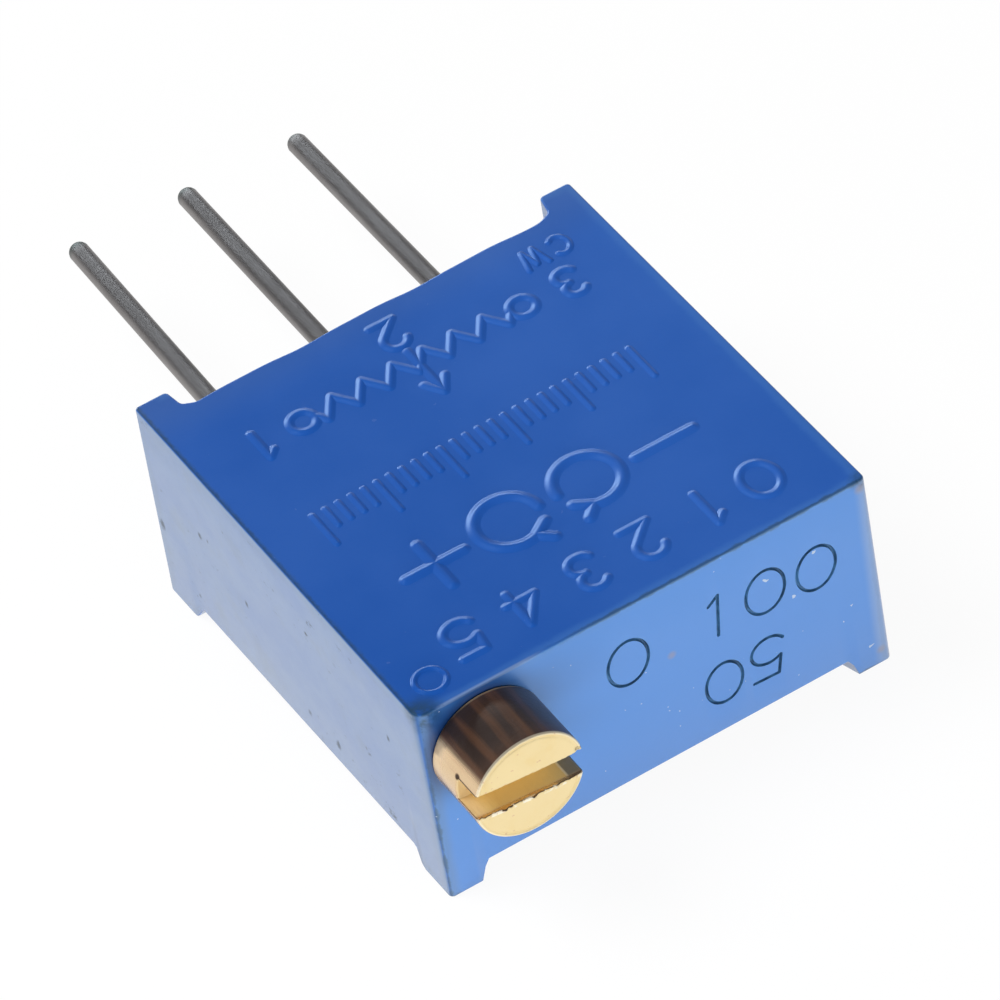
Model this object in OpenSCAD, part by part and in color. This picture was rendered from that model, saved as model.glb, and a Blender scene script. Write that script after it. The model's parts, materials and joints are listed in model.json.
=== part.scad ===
// Multi-turn trimmer potentiometer with a worm drive, a slotted brass screw
// and three in-line pins. It lies on its back, with the label face up.
//
// X runs along the row of pins, Y from the screw face to the pin tips, and Z
// from the back to the label face. The origin is on the axis of the middle
// pin, where it crosses the board's face. All sizes are in millimetres.

/* [Body] */
// Width of the body, along the row of pins
body_w = 9.53; // [7.9:0.01:11.5]
// Length of the body, from the screw face to the ends of the standoffs
body_l = 10.03; // [8.3:0.01:12.1]
// Thickness of the body, from the back feet to the label face
body_t = 4.83; // [4.02:0.01:5.8]
// Radius of the body's four corners, seen on the label face
corner_r = 0.1; // [0.08:0.01:0.3]
// Wall between the wheel chamber and the sides of the body
side_wall = 0.8; // [0.65:0.01:1]
// Wall around the opening in the back
seat_wall = 0.45; // [0.35:0.01:0.55]
// Wall under the label
label_wall = 0.63; // [0.5:0.01:0.76]

/* [Feet] */
// How far the two standoffs hold the body off the board
standoff_h = 0.5; // [0.4:0.01:0.7]
// Width of each standoff, and of each back foot
foot_w = 0.7; // [0.55:0.01:0.85]
// How far the four back feet stand out from the back rim
back_foot_h = 0.48; // [0.35:0.01:0.6]
// Length of a back foot along the side of the body
back_foot_l = 0.95; // [0.7:0.01:1.2]

/* [Screw] */
// Diameter of the screw's head
head_d = 2.3; // [1.9:0.01:2.4]
// How far the head stands out from the screw face
head_l = 1.5; // [1.2:0.01:1.8]
// Width of the driver slot
slot_w = 0.55; // [0.4:0.01:0.7]
// Depth of the driver slot
slot_depth = 0.64; // [0.4:0.01:0.8]
// Turn of the slot away from the row of pins, in degrees
slot_turn = 5.6; // [0:0.1:45]
// From the side of the body to the screw's axis
screw_side_inset = 1.25; // [1.21:0.01:1.5]
// From the label face to the screw's axis
screw_label_inset = 1.32; // [1.21:0.01:1.6]
// Diameter of the screw's journal in the front wall
journal_d = 1.86; // [1.55:0.01:1.88]
// Diameter of the neck at the bottom of the screw's two grooves
groove_d = 1.2; // [1:0.01:1.44]
// Diameter of the pivot at the inner end of the screw
pivot_d = 0.8; // [0.66:0.01:0.96]

/* [Worm drive] */
// Teeth on the worm wheel, which is also the screw's turns for one turn of it
wheel_teeth = 32; // [28:1:38]
// Turns of the screw from one end of the travel to the other
travel_turns = 25; // [20:1:25]
// Turns of thread on the worm
worm_turns = 5; // [4:1:5]
// Thickness of the toothed rim
rim_t = 0.62; // [0.5:0.01:0.75]
// Diameter of the wheel's hub
hub_d = 3.8; // [3.2:0.01:4.2]
// Diameter of the post that the wheel turns on
post_d = 1; // [0.84:0.01:1.2]

/* [Element] */
// Thickness of the ceramic plate
ceramic_t = 0.6; // [0.45:0.01:0.75]
// Thickness of the printed films on the ceramic
film_t = 0.03; // [0.02:0.005:0.05]
// Radius of the middle of the resistance track
track_r = 2.35; // [2.2:0.01:2.5]
// Width of the resistance track
track_w = 0.5; // [0.4:0.01:0.6]
// Outer radius of the collector ring
collector_r = 1; // [0.84:0.01:1.2]
// Height of the bent contact spring between the wheel and the element
spring_gap = 0.55; // [0.4:0.01:0.66]
// Thickness of the contact spring's sheet
spring_t = 0.07; // [0.05:0.01:0.1]

/* [Terminals] */
// Distance between neighbouring pins
pin_pitch = 2.54; // [2.12:0.01:3.05]
// Diameter of a pin
pin_d = 0.47; // [0.42:0.01:0.6]
// Width of a pin's tail, which is pressed flat inside the body
tail_w = 0.4; // [0.33:0.01:0.42]
// How far the pins stand out past the standoffs
pin_l = 7.15; // [3:0.01:12]
// From the plane of the back feet to the axes of the pins
pin_height = 2.12; // [1.9:0.01:2.5]

/* [Hidden] */

// How far a cut runs past the face that it opens.
cut = 0.5;
// Segments of a full circle; every circle is rebuilt as a true one.
round_fn = 96;
// Radial play of the screw in its bearings and of the wheel on its post.
running_gap = 0.02;
// Play under the screw's head, and of the clip in its groove.
end_gap = 0.02;
// Room around the wheel in its chamber.
chamber_gap = 0.08;
// Play of the ceramic plate in its seat, whose shoulder rests on the films.
seat_gap = 0.03;

// The outer faces.
side_x = body_w / 2;
front_y = -body_l;
rear_y = -standoff_h;
back_z = -pin_height;
label_z = back_z + body_t;
back_rim_z = back_z + back_foot_h;

// The screw's axis.
axis_x = screw_side_inset - side_x;
axis_z = label_z - screw_label_inset;
worm_r = journal_d / 2 - running_gap;
bore_r = journal_d / 2 + running_gap;

// The opening in the back, which seats the ceramic plate.
seat_x = side_x - seat_wall;
seat_front_y = front_y + seat_wall;
seat_rear_y = rear_y - seat_wall;
element_z = -pin_d / 2 - film_t;
film_top_z = element_z + film_t;
ceramic_z = element_z - ceramic_t;

// The wheel is as large as the walls around its chamber allow.
wheel_y = (rear_y + front_y) / 2;
wheel_by_width = (side_x - side_wall - chamber_gap - axis_x - worm_r)
    * (wheel_teeth + 2) / (2 * wheel_teeth);
wheel_by_length = (rear_y - front_y) / 2 - side_wall - chamber_gap;
wheel_r = min(wheel_by_width, wheel_by_length);
tooth_module = 2 * wheel_r / (wheel_teeth + 2);
pitch_r = wheel_r - tooth_module;
root_r = pitch_r - 1.25 * tooth_module;
worm_pitch_r = worm_r - tooth_module;
wheel_x = axis_x + worm_pitch_r + pitch_r;
chamber_r = wheel_r + chamber_gap;
chamber_top_z = label_z - label_wall;

// Heights on the wheel.
rim_z = axis_z - rim_t / 2;
rim_top_z = axis_z + rim_t / 2;
hub_z = min(rim_z, film_top_z + spring_gap);
hub_top_z = chamber_top_z - 2 * end_gap;
hub_r = hub_d / 2;

// The wheel turns this far each way from the middle of its travel, and its
// lug then stands this many degrees short of the stop in the housing.
half_travel = travel_turns * 360 / wheel_teeth / 2;
stop_spare = 1.5;
lug_half_angle = 15;
stop_half_angle = 180 - half_travel - stop_spare - lug_half_angle;
lug_r = hub_r + 0.25;
lug_w = 0.5;

// The worm's thread: one start, with a trapezoid section.
thread_pitch = PI * tooth_module;
thread_core_r = worm_r - 2.2 * tooth_module;
thread_root_half = 0.24 * thread_pitch;
thread_crest_half = 0.09 * thread_pitch;
thread_steps = 24;
worm_half = (worm_turns / 2 + 0.5) * thread_pitch;
tooth_root_half = 0.25;
tooth_tip_half = 0.11;

// Stations along the screw, from the front face inwards.
ring_w = 0.42;
ring_y = front_y + 0.9;
clip_t = 0.2;
clip_y = ring_y + 0.85;
journal_end_y = clip_y + 0.5;
worm_end_y = wheel_y + worm_half;
tunnel_end_y = worm_end_y + 0.12;
pivot_end_y = tunnel_end_y + 1.1;
pivot_bore_y = pivot_end_y + 0.15;

// The clip that holds the screw in: it stands on the ceramic plate and
// straddles the neck of the screw.
clip_half_w = screw_side_inset - seat_wall;
clip_top_z = axis_z + 0.55;
clip_foot_z = element_z + end_gap;

// Terminals. The flat tails lie on pads at the rear edge of the ceramic, and
// the round pins start outside the rear wall.
pin_r = pin_d / 2;
shoulder_y = rear_y + end_gap;
pin_x = [-pin_pitch, 0, pin_pitch];
pin_inner_y = seat_rear_y - 0.85;
pin_tip_round = 0.14;
notch_play = 0.01;
notch_half_w = tail_w / 2 + notch_play;
pad_half_w = pin_r + 0.2;
pad_front_y = pin_inner_y - 0.15;
pad_rear_y = seat_rear_y - 0.12;
solder_half_w = pin_r + 0.15;
solder_h = pin_d * 0.62;
solder_inset = 0.08;
solder_gap = 0.06;

// The track is open towards the pins.
track_half_gap = 180 - half_travel;
track_in_r = track_r - track_w / 2;
track_out_r = track_r + track_w / 2;
collector_in_r = post_d / 2 + 0.05;
collector_tongue_half = 0.18;

// The contact spring: a ring under the hub, with fingers bent down to the
// track on one side and to the collector on the other.
spring_in_r = collector_r + 0.3;
spring_out_r = hub_r - 0.1;
spring_drop = hub_z - film_top_z;
finger_w = 0.15;
finger_step = 0.21;
track_fingers = 4;
collector_fingers = 3;
contact_gap = 0.01;

// The potting stops a little short of the back rim.
potting_z = back_rim_z + 0.06;

// One quarter of a square, cut to leave a round corner of radius r.
module corner_cut(r) {
    difference() {
        square([r + cut, r + cut]);
        circle(r, $fn = round_fn);
    }
}

// Outline of the body on the label face, with the two standoffs.
module body_outline() {
    difference() {
        translate([-side_x, front_y])
            square([body_w, body_l]);
        translate([-side_x + foot_w, rear_y])
            square([body_w - 2 * foot_w, standoff_h + cut]);
        for (side = [0, 1])
            mirror([side, 0])
                translate([side_x - corner_r, front_y + corner_r])
                    mirror([0, 1])
                        corner_cut(corner_r);
        for (side = [0, 1])
            mirror([side, 0])
                translate([side_x - corner_r, -corner_r])
                    corner_cut(corner_r);
    }
}

// The four corners of the body that reach down to the resting plane.
module foot_areas() {
    for (side = [-1, 1]) {
        translate([side * (side_x - foot_w / 2), front_y + back_foot_l / 2])
            square([foot_w, back_foot_l], center = true);
        translate([side * (side_x - foot_w / 2), 0])
            square([foot_w, 2 * back_foot_l], center = true);
    }
}

// A cylinder that lies along Y, from y to y_end.
module rod(r, y, y_end, fn = round_fn) {
    translate([0, y_end, 0])
        rotate([90, 0, 0])
            cylinder(h = y_end - y, r = r, $fn = fn);
}

// A piece of a ring around the wheel's axis. The angle is measured from the
// direction of the pins and runs half_angle to each side of it.
module ring_piece(r, r_out, z, z_top, middle, half_angle) {
    translate([wheel_x, wheel_y, z])
        rotate([0, 0, middle + 90 - half_angle])
            rotate_extrude(angle = 2 * half_angle, $fn = round_fn)
                translate([r, 0])
                    square([r_out - r, z_top - z]);
}

// Everything that is hollow inside the housing.
module housing_hollows() {
    // Seat of the ceramic plate, open at the back.
    translate([-seat_x, seat_front_y, back_z - cut])
        cube([
            2 * seat_x, seat_rear_y - seat_front_y,
            film_top_z - back_z + cut
        ]);
    // Chamber of the wheel.
    translate([wheel_x, wheel_y, element_z])
        cylinder(h = chamber_top_z - element_z, r = chamber_r, $fn = round_fn);
    // Bore for the screw, and the blind bore for its pivot.
    translate([axis_x, 0, axis_z]) {
        rod(bore_r, front_y - cut, tunnel_end_y);
        rod(pivot_d / 2 + running_gap, tunnel_end_y - cut, pivot_bore_y);
    }
    // Slot for the clip, open at the back.
    translate([axis_x - clip_half_w, clip_y - clip_t / 2 - end_gap, element_z])
        cube([
            2 * clip_half_w, clip_t + 2 * end_gap,
            clip_top_z + end_gap - element_z
        ]);
    // Notches in the rear wall for the pins, and room for their solder.
    for (x = pin_x) {
        translate([x - notch_half_w, seat_rear_y - cut, back_z - cut])
            cube([
                2 * notch_half_w, cut + seat_wall + cut,
                pin_r + notch_play - back_z + cut
            ]);
        translate([x - pad_half_w, pad_front_y, element_z])
            cube([
                2 * pad_half_w, seat_rear_y - pad_front_y,
                pin_r + solder_gap - element_z
            ]);
    }
}

module housing() {
    color([0.18, 0.37, 0.71]) {
        difference() {
            translate([0, 0, back_rim_z])
                linear_extrude(label_z - back_rim_z)
                    body_outline();
            housing_hollows();
        }
        difference() {
            translate([0, 0, back_z])
                linear_extrude(back_foot_h)
                    intersection() {
                        body_outline();
                        foot_areas();
                    }
            housing_hollows();
        }
        // Post for the wheel, and the stop for its lug.
        translate([wheel_x, wheel_y, hub_z + 2 * end_gap])
            cylinder(
                h = chamber_top_z - hub_z, r = post_d / 2 - running_gap,
                $fn = round_fn
            );
        ring_piece(
            lug_r, lug_r + lug_w, rim_top_z + 3 * end_gap,
            chamber_top_z + end_gap, 0, stop_half_angle
        );
    }
}

// Point on the worm: angle in degrees from straight up, radius, and distance
// along the axis from the middle of the wheel.
function worm_point(angle, r, y) = [r * sin(angle), y, r * cos(angle)];

// Corners of the thread's section at one angle. The thread is right-handed,
// and at rest a gap of it faces the tooth that points at the screw.
function thread_section(angle) =
    let (y = thread_pitch * (angle / 360 + 0.25))
    [
        worm_point(angle, thread_core_r - 0.04, y - thread_root_half),
        worm_point(angle, worm_r, y - thread_crest_half),
        worm_point(angle, worm_r, y + thread_crest_half),
        worm_point(angle, thread_core_r - 0.04, y + thread_root_half)
    ];

module worm_thread() {
    steps = worm_turns * thread_steps;
    points = [
        for (i = [0:steps])
            each thread_section((i / thread_steps - worm_turns / 2) * 360)
    ];
    sides = [
        for (i = [0:steps - 1], k = [0:3])
            let (a = 4 * i + k, b = 4 * i + (k + 1) % 4)
            each [[a, b + 4, a + 4], [a, b, b + 4]]
    ];
    ends = [
        [0, 2, 1], [0, 3, 2],
        [4 * steps, 4 * steps + 1, 4 * steps + 2],
        [4 * steps, 4 * steps + 2, 4 * steps + 3]
    ];
    polyhedron(points, concat(sides, ends), convexity = 10);
}

module adjustment_screw() {
    color([0.86, 0.69, 0.36])
        translate([axis_x, 0, axis_z]) {
            // Head, with the driver slot.
            difference() {
                rod(head_d / 2, front_y - head_l, front_y - end_gap);
                translate([0, front_y - head_l, 0])
                    rotate([0, slot_turn, 0])
                        cube([head_d + cut, 2 * slot_depth, slot_w], center = true);
            }
            // Journal, with the grooves for the seal and the clip.
            rod(journal_d / 2, front_y - end_gap - 0.1, ring_y - ring_w / 2);
            rod(groove_d / 2, front_y, journal_end_y);
            rod(
                journal_d / 2, ring_y + ring_w / 2,
                clip_y - clip_t / 2 - end_gap
            );
            rod(
                journal_d / 2, clip_y + clip_t / 2 + end_gap,
                journal_end_y
            );
            // Worm, and the pivot at the inner end.
            rod(thread_core_r, journal_end_y - 0.1, worm_end_y);
            rod(pivot_d / 2, worm_end_y - 0.1, pivot_end_y);
            translate([0, wheel_y, 0])
                worm_thread();
        }
}

module shaft_o_ring() {
    section_r = (bore_r - groove_d / 2) / 2 - 0.01;
    color([0.12, 0.12, 0.13])
        translate([axis_x, ring_y, axis_z])
            rotate([90, 0, 0])
                rotate_extrude($fn = round_fn)
                    translate([(bore_r + groove_d / 2) / 2, 0])
                        circle(section_r, $fn = 32);
}

module retaining_clip() {
    neck_r = groove_d / 2 + running_gap;
    color([0.72, 0.73, 0.75])
        difference() {
            translate([axis_x - clip_half_w + end_gap, clip_y - clip_t / 2, clip_foot_z])
                cube([
                    2 * (clip_half_w - end_gap), clip_t,
                    clip_top_z - clip_foot_z
                ]);
            translate([axis_x, 0, axis_z])
                rod(neck_r, clip_y - cut, clip_y + cut);
            translate([axis_x - neck_r, clip_y - cut, axis_z])
                cube([2 * neck_r, 2 * cut, 2 * neck_r]);
        }
}

// Outline of the toothed rim. A tooth points at the screw.
module wheel_outline() {
    step = 360 / wheel_teeth;
    polygon([
        for (i = [0:wheel_teeth - 1], corner = [
                [root_r, -tooth_root_half], [wheel_r, -tooth_tip_half],
                [wheel_r, tooth_tip_half], [root_r, tooth_root_half]
            ])
            let (angle = 180 + (i + corner[1]) * step)
            corner[0] * [cos(angle), sin(angle)]
    ]);
}

module worm_wheel() {
    color([0.93, 0.92, 0.88]) {
        translate([wheel_x, wheel_y, 0])
            difference() {
                union() {
                    translate([0, 0, rim_z])
                        linear_extrude(rim_t)
                            wheel_outline();
                    translate([0, 0, hub_z])
                        cylinder(h = hub_top_z - hub_z, r = hub_r, $fn = round_fn);
                }
                translate([0, 0, hub_z - cut])
                    cylinder(h = body_t, r = post_d / 2, $fn = round_fn);
            }
        ring_piece(
            lug_r, lug_r + lug_w, rim_top_z - 0.1, hub_top_z,
            180, lug_half_angle
        );
    }
}

// A row of fingers bent down from the ring, starting start_r from the wheel's
// axis and reaching run outwards, along the direction of heading.
module finger_row(count, start_r, run, heading) {
    drop = spring_drop - spring_t - contact_gap;
    slope = atan2(drop, run);
    length = norm([run, drop]);
    for (i = [0:count - 1])
        rotate([0, 0, heading])
            translate([(i - (count - 1) / 2) * finger_step, start_r, hub_z - spring_t])
                rotate([-slope, 0, 0])
                    translate([-finger_w / 2, 0, 0])
                        cube([finger_w, length, spring_t]);
}

module contact_spring() {
    ring_half_w = (track_fingers * finger_step + 0.1) / 2;
    color([0.83, 0.72, 0.47])
        translate([wheel_x, wheel_y, 0]) {
            difference() {
                translate([0, 0, hub_z - spring_t])
                    cylinder(h = spring_t, r = spring_out_r, $fn = round_fn);
                translate([0, 0, hub_z - cut])
                    cylinder(h = 2 * cut, r = spring_in_r, $fn = round_fn);
            }
            finger_row(track_fingers, spring_out_r - 0.15, track_r - spring_out_r + 0.15, 180);
            finger_row(
                collector_fingers, -spring_in_r - 0.1,
                spring_in_r + 0.1 - (collector_r + collector_in_r) / 2, 0
            );
        }
}

module ceramic_substrate() {
    color([0.94, 0.93, 0.9])
        translate([-seat_x + seat_gap, seat_front_y + seat_gap, ceramic_z])
            cube([
                2 * (seat_x - seat_gap),
                seat_rear_y - seat_front_y - 2 * seat_gap, ceramic_t
            ]);
}

module resistance_track() {
    color([0.13, 0.13, 0.13])
        ring_piece(
            track_in_r, track_out_r, element_z, film_top_z,
            180, half_travel
        );
}

// A pad under a pin, from its front edge to its rear edge.
module pad(x, y = pad_front_y) {
    translate([x - pad_half_w, y, element_z])
        cube([2 * pad_half_w, pad_rear_y - y, film_t]);
}

// Collector ring under the wheel's axis, with its tongue to the middle pad.
module collector_film() {
    color([0.8, 0.78, 0.74]) {
        difference() {
            union() {
                translate([wheel_x, wheel_y, element_z])
                    cylinder(h = film_t, r = collector_r, $fn = round_fn);
                translate([
                    wheel_x - collector_tongue_half, wheel_y + collector_in_r,
                    element_z
                ])
                    cube([
                        2 * collector_tongue_half,
                        pad_front_y - wheel_y - collector_in_r + 0.1, film_t
                    ]);
            }
            translate([wheel_x, wheel_y, element_z - cut])
                cylinder(h = 2 * cut, r = collector_in_r, $fn = round_fn);
        }
        pad(0);
    }
}

// Pad of an outer pin, with the strip that joins it to its end of the track.
module end_pad(side) {
    end_angle = 90 - side * track_half_gap;
    end_x = wheel_x + track_r * cos(end_angle);
    end_y = wheel_y + track_r * sin(end_angle);
    strip_half = 0.2;
    x = side * pin_pitch;
    color([0.8, 0.78, 0.74]) {
        difference() {
            union() {
                pad(x);
                translate([
                    min(x, end_x) - strip_half,
                    end_y, element_z
                ])
                    cube([
                        abs(x - end_x) + 2 * strip_half,
                        2 * strip_half, film_t
                    ]);
                translate([x - strip_half, min(end_y, pad_front_y), element_z])
                    cube([
                        2 * strip_half, abs(pad_front_y - end_y) + 0.1, film_t
                    ]);
            }
            ring_piece(
                track_in_r, track_out_r, element_z - cut, film_top_z + cut,
                180, half_travel
            );
        }
    }
}

// The tail of a pin, a flat bar, from y to the round pin's shoulder.
module tail_bar(x, y) {
    translate([x - tail_w / 2, y, -pin_r])
        cube([tail_w, shoulder_y - y, pin_d]);
}

// A round pin along Y, with a rounded tip and a flat tail.
module terminal_pin(x) {
    round_y = pin_l - pin_tip_round;
    color([0.6, 0.6, 0.61]) {
        tail_bar(x, pin_inner_y);
        translate([x, 0, 0]) {
            rod(tail_w / 3, seat_rear_y, 0);
            rotate([-90, 0, 0])
                rotate_extrude($fn = round_fn)
                    union() {
                        translate([0, shoulder_y])
                            square([pin_r, round_y - shoulder_y]);
                        translate([0, shoulder_y])
                            square([pin_r - pin_tip_round, pin_l - shoulder_y]);
                        translate([pin_r - pin_tip_round, round_y])
                            intersection() {
                                circle(pin_tip_round, $fn = 32);
                                square(pin_tip_round);
                            }
                    }
        }
    }
}

// Solder around a pin's tail, on both sides of it and over its end.
module solder_joint(x) {
    solder_rear_y = pad_rear_y - solder_inset;
    solder_front_y = pin_inner_y - solder_inset;
    color([0.7, 0.71, 0.73])
        difference() {
            translate([x, solder_rear_y, film_top_z])
                rotate([90, 0, 0])
                    linear_extrude(solder_rear_y - solder_front_y)
                        polygon([
                            [-solder_half_w, 0], [solder_half_w, 0],
                            [tail_w / 2, solder_h], [-tail_w / 2, solder_h]
                        ]);
            tail_bar(x, pin_inner_y);
        }
}

// The potting closes the back, and the notches under the pins' tails.
module potting_seal() {
    color([0.13, 0.27, 0.52]) {
        translate([-seat_x, seat_front_y, potting_z])
            cube([
                2 * seat_x, seat_rear_y - seat_front_y, ceramic_z - potting_z
            ]);
        for (x = pin_x)
            translate([x - notch_half_w, seat_rear_y - seat_gap, potting_z])
                cube([
                    2 * notch_half_w, seat_wall + seat_gap,
                    film_top_z - potting_z
                ]);
    }
}

housing();
adjustment_screw();
shaft_o_ring();
retaining_clip();
worm_wheel();
contact_spring();
ceramic_substrate();
resistance_track();
collector_film();
end_pad(-1);  // end_pad_1
end_pad(1);  // end_pad_3
terminal_pin(pin_x[0]);  // terminal_pin_1
terminal_pin(pin_x[1]);  // terminal_pin_2
terminal_pin(pin_x[2]);  // terminal_pin_3
solder_joint(pin_x[0]);  // solder_joint_1
solder_joint(pin_x[1]);  // solder_joint_2
solder_joint(pin_x[2]);  // solder_joint_3
potting_seal();
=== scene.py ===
import json
import logging
from dataclasses import dataclass, field
from enum import Enum

import bmesh
import bpy
import numpy as np
from mathutils import Matrix, Vector


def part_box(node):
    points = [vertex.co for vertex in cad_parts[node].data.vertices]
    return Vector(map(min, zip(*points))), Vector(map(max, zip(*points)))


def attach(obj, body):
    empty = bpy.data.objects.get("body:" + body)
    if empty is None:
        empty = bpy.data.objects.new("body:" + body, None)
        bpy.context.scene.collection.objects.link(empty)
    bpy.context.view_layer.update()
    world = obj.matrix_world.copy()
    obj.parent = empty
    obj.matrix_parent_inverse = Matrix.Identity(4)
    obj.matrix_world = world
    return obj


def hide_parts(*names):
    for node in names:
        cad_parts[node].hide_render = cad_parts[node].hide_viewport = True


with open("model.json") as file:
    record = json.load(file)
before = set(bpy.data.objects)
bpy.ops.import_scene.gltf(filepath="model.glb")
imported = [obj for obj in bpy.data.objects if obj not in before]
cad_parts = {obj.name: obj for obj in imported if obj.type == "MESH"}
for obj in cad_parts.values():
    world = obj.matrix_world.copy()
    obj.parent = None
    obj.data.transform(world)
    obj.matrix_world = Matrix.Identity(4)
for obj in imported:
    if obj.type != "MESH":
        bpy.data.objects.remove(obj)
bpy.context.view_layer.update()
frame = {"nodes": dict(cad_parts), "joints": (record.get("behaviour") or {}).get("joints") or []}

log = logging.getLogger("trimmer")
MM = 0.001
Array = np.ndarray
Colour = tuple[float, float, float]
Material = bpy.types.Material
Node = bpy.types.Node
Piece = bpy.types.Object
Socket = bpy.types.NodeSocket
Sockets = bpy.types.bpy_prop_collection
Tree = bpy.types.NodeTree


# ---------------------------------------------------------------- shapes


def smooth_step(low: float, high: float, value: Array) -> Array:
    """Rises from 0 at low to 1 at high, as 3t^2 - 2t^3 of the share t of the way.

    Args:
        low: Where the rise starts; it may lie above high for a fall.
        high: Where the rise ends.
        value: Where to work it out.
    Returns:
        The height of the step at each value.
    """
    t = np.clip((value - low) / (high - low), 0, 1)
    return t * t * (3 - 2 * t)


def hill(value: Array, middle: float, width: float) -> Array:
    """A bell, exp(-((value - middle) / width)^2).

    Args:
        value: Where to work it out.
        middle: Where the bell is 1.
        width: Distance at which it has sunk to 1/e.
    Returns:
        The height of the bell at each value.
    """
    return np.exp(-(((value - middle) / width) ** 2))


def full_turn(steps: int) -> Array:
    """Angles evenly round a circle, with the first one given only once."""
    return np.arange(steps) * 2 * np.pi / steps


def xyz(x: Array | float, y: Array | float, z: Array | float) -> Array:
    """Joins coordinates, spread to one shape, to points along a last axis of three."""
    return np.stack(np.broadcast_arrays(x, y, z), axis=-1)


class Surface:
    """Gathers grids and flat caps in millimetres, and makes one mesh of them."""

    def __init__(self) -> None:
        """Starts with nothing in it."""
        self.points: list[Array] = []
        self.faces: list[list[int]] = []
        self.count = 0

    def add_grid(
        self, points: Array, close_rows: bool = False, close_columns: bool = False
    ) -> Array:
        """Adds a grid of quads, one between each four neighbouring points.

        Args:
            points: Array of rows x columns x 3.
            close_rows: Joins the last row to the first.
            close_columns: Joins the last column to the first.
        Returns:
            The number of each point in the mesh, as rows x columns.
        """
        rows, columns = points.shape[:2]
        number = self.count + np.arange(rows * columns).reshape(rows, columns)
        wide = number
        if close_rows:
            wide = np.vstack([wide, wide[:1]])
        if close_columns:
            wide = np.hstack([wide, wide[:, :1]])
        quads = np.stack([wide[:-1, :-1], wide[1:, :-1], wide[1:, 1:], wide[:-1, 1:]], axis=-1)
        self.points.append(points.reshape(-1, 3))
        self.faces.extend(quads.reshape(-1, 4).tolist())
        self.count += rows * columns
        return number

    def add_cap(self, ring: Array) -> None:
        """Closes a ring of points, given by their numbers, with one flat face."""
        self.faces.append([int(i) for i in ring])

    def add_tube(self, points: Array, along_rows: bool = False) -> None:
        """Adds a grid that is closed one way, with a cap at each of its two ends.

        Args:
            points: Array of rows x columns x 3, whose columns go round the tube.
            along_rows: Its rows go round the tube instead.
        """
        number = self.add_grid(points, close_rows=along_rows, close_columns=not along_rows)
        rings = number.T if along_rows else number
        self.add_cap(rings[0])
        self.add_cap(rings[-1])

    def add_lathe(self, profile: Array, centre: Array, steps: int = 96) -> None:
        """Turns a profile about an axis along Y.

        Point (i, j) is centre + (r_i cos t_j, y_i, r_i sin t_j), with t_j evenly round
        the circle. A profile that starts and ends on the axis gives a closed skin.

        Args:
            profile: Array of n x 2, radius and Y.
            centre: Point that the axis goes through; its Y is added.
            steps: Points round the circle.
        """
        turn = full_turn(steps)
        radius, along = profile[:, :1], profile[:, 1:]
        grid = xyz(radius * np.cos(turn), along, radius * np.sin(turn))
        self.add_grid(grid + centre, close_columns=True)

    def build(self, name: str, *materials: Material) -> Piece:
        """Makes the object, with doubles merged and every face turned outwards.

        Args:
            name: Name of the object.
            materials: Its materials, in the order of its slots.
        Returns:
            The new object, which sits at the origin with its place in its mesh.
        """
        mesh = bpy.data.meshes.new(name)
        points = np.concatenate(self.points) * MM
        mesh.from_pydata(points.tolist(), [], self.faces)
        draft = bmesh.new()
        draft.from_mesh(mesh)
        bmesh.ops.remove_doubles(draft, verts=draft.verts, dist=2e-7)
        bmesh.ops.dissolve_degenerate(draft, edges=draft.edges, dist=1e-8)
        bmesh.ops.recalc_face_normals(draft, faces=draft.faces)
        draft.to_mesh(mesh)
        draft.free()
        for material in materials:
            mesh.materials.append(material)
        return put_in_scene(name, mesh)


def put_in_scene(name: str, data: bpy.types.ID) -> Piece:
    """Makes an object of a mesh, a lamp or a camera, and links it to the scene."""
    piece = bpy.data.objects.new(name, data)
    bpy.context.scene.collection.objects.link(piece)
    return piece


def block(low: Array, high: Array) -> Surface:
    """A plain box between two corners, used only to carve other pieces."""
    x, y, z = np.array([low, high], float).T
    box = Surface()
    box.add_tube(xyz(x[[0, 1, 1, 0]], y[[0, 0, 1, 1]], z[:, None]))
    return box


def carve(
    piece: Piece, tool: Surface, operation: str = "DIFFERENCE", slot_index: int = 0
) -> None:
    """Cuts a closed tool out of a closed piece, or joins it on.

    Args:
        piece: The piece to change.
        tool: The tool's surface.
        operation: DIFFERENCE or UNION.
        slot_index: Material slot of the piece that the new faces take.
    """
    cutter = tool.build("carving_tool")
    cutter.data.polygons.foreach_set(
        "material_index", np.full(len(cutter.data.polygons), slot_index, np.int32))
    step = piece.modifiers.new("carve", "BOOLEAN")
    step.solver = "MANIFOLD"
    step.operation = operation
    step.object = cutter
    depsgraph = bpy.context.evaluated_depsgraph_get()
    result = bpy.data.meshes.new_from_object(piece.evaluated_get(depsgraph))
    old = piece.data
    piece.modifiers.clear()
    piece.data = result
    bpy.data.meshes.remove(old)
    bpy.data.objects.remove(cutter)


def shade(piece: Piece, degrees: float = 38, weighted: bool = True) -> None:
    """Shades a piece smooth, apart from edges sharper than a given angle.

    Args:
        piece: The piece.
        degrees: Edges that bend by more than this stay sharp.
        weighted: Keeps large flat faces flat beside narrow round ones.
    """
    piece.data.shade_smooth()
    piece.data.set_sharp_from_angle(angle=np.radians(degrees))
    if weighted:
        weigh = piece.modifiers.new("flat_faces", "WEIGHTED_NORMAL")
        weigh.mode = "FACE_AREA"
        weigh.weight = 80
        weigh.keep_sharp = True


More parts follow.
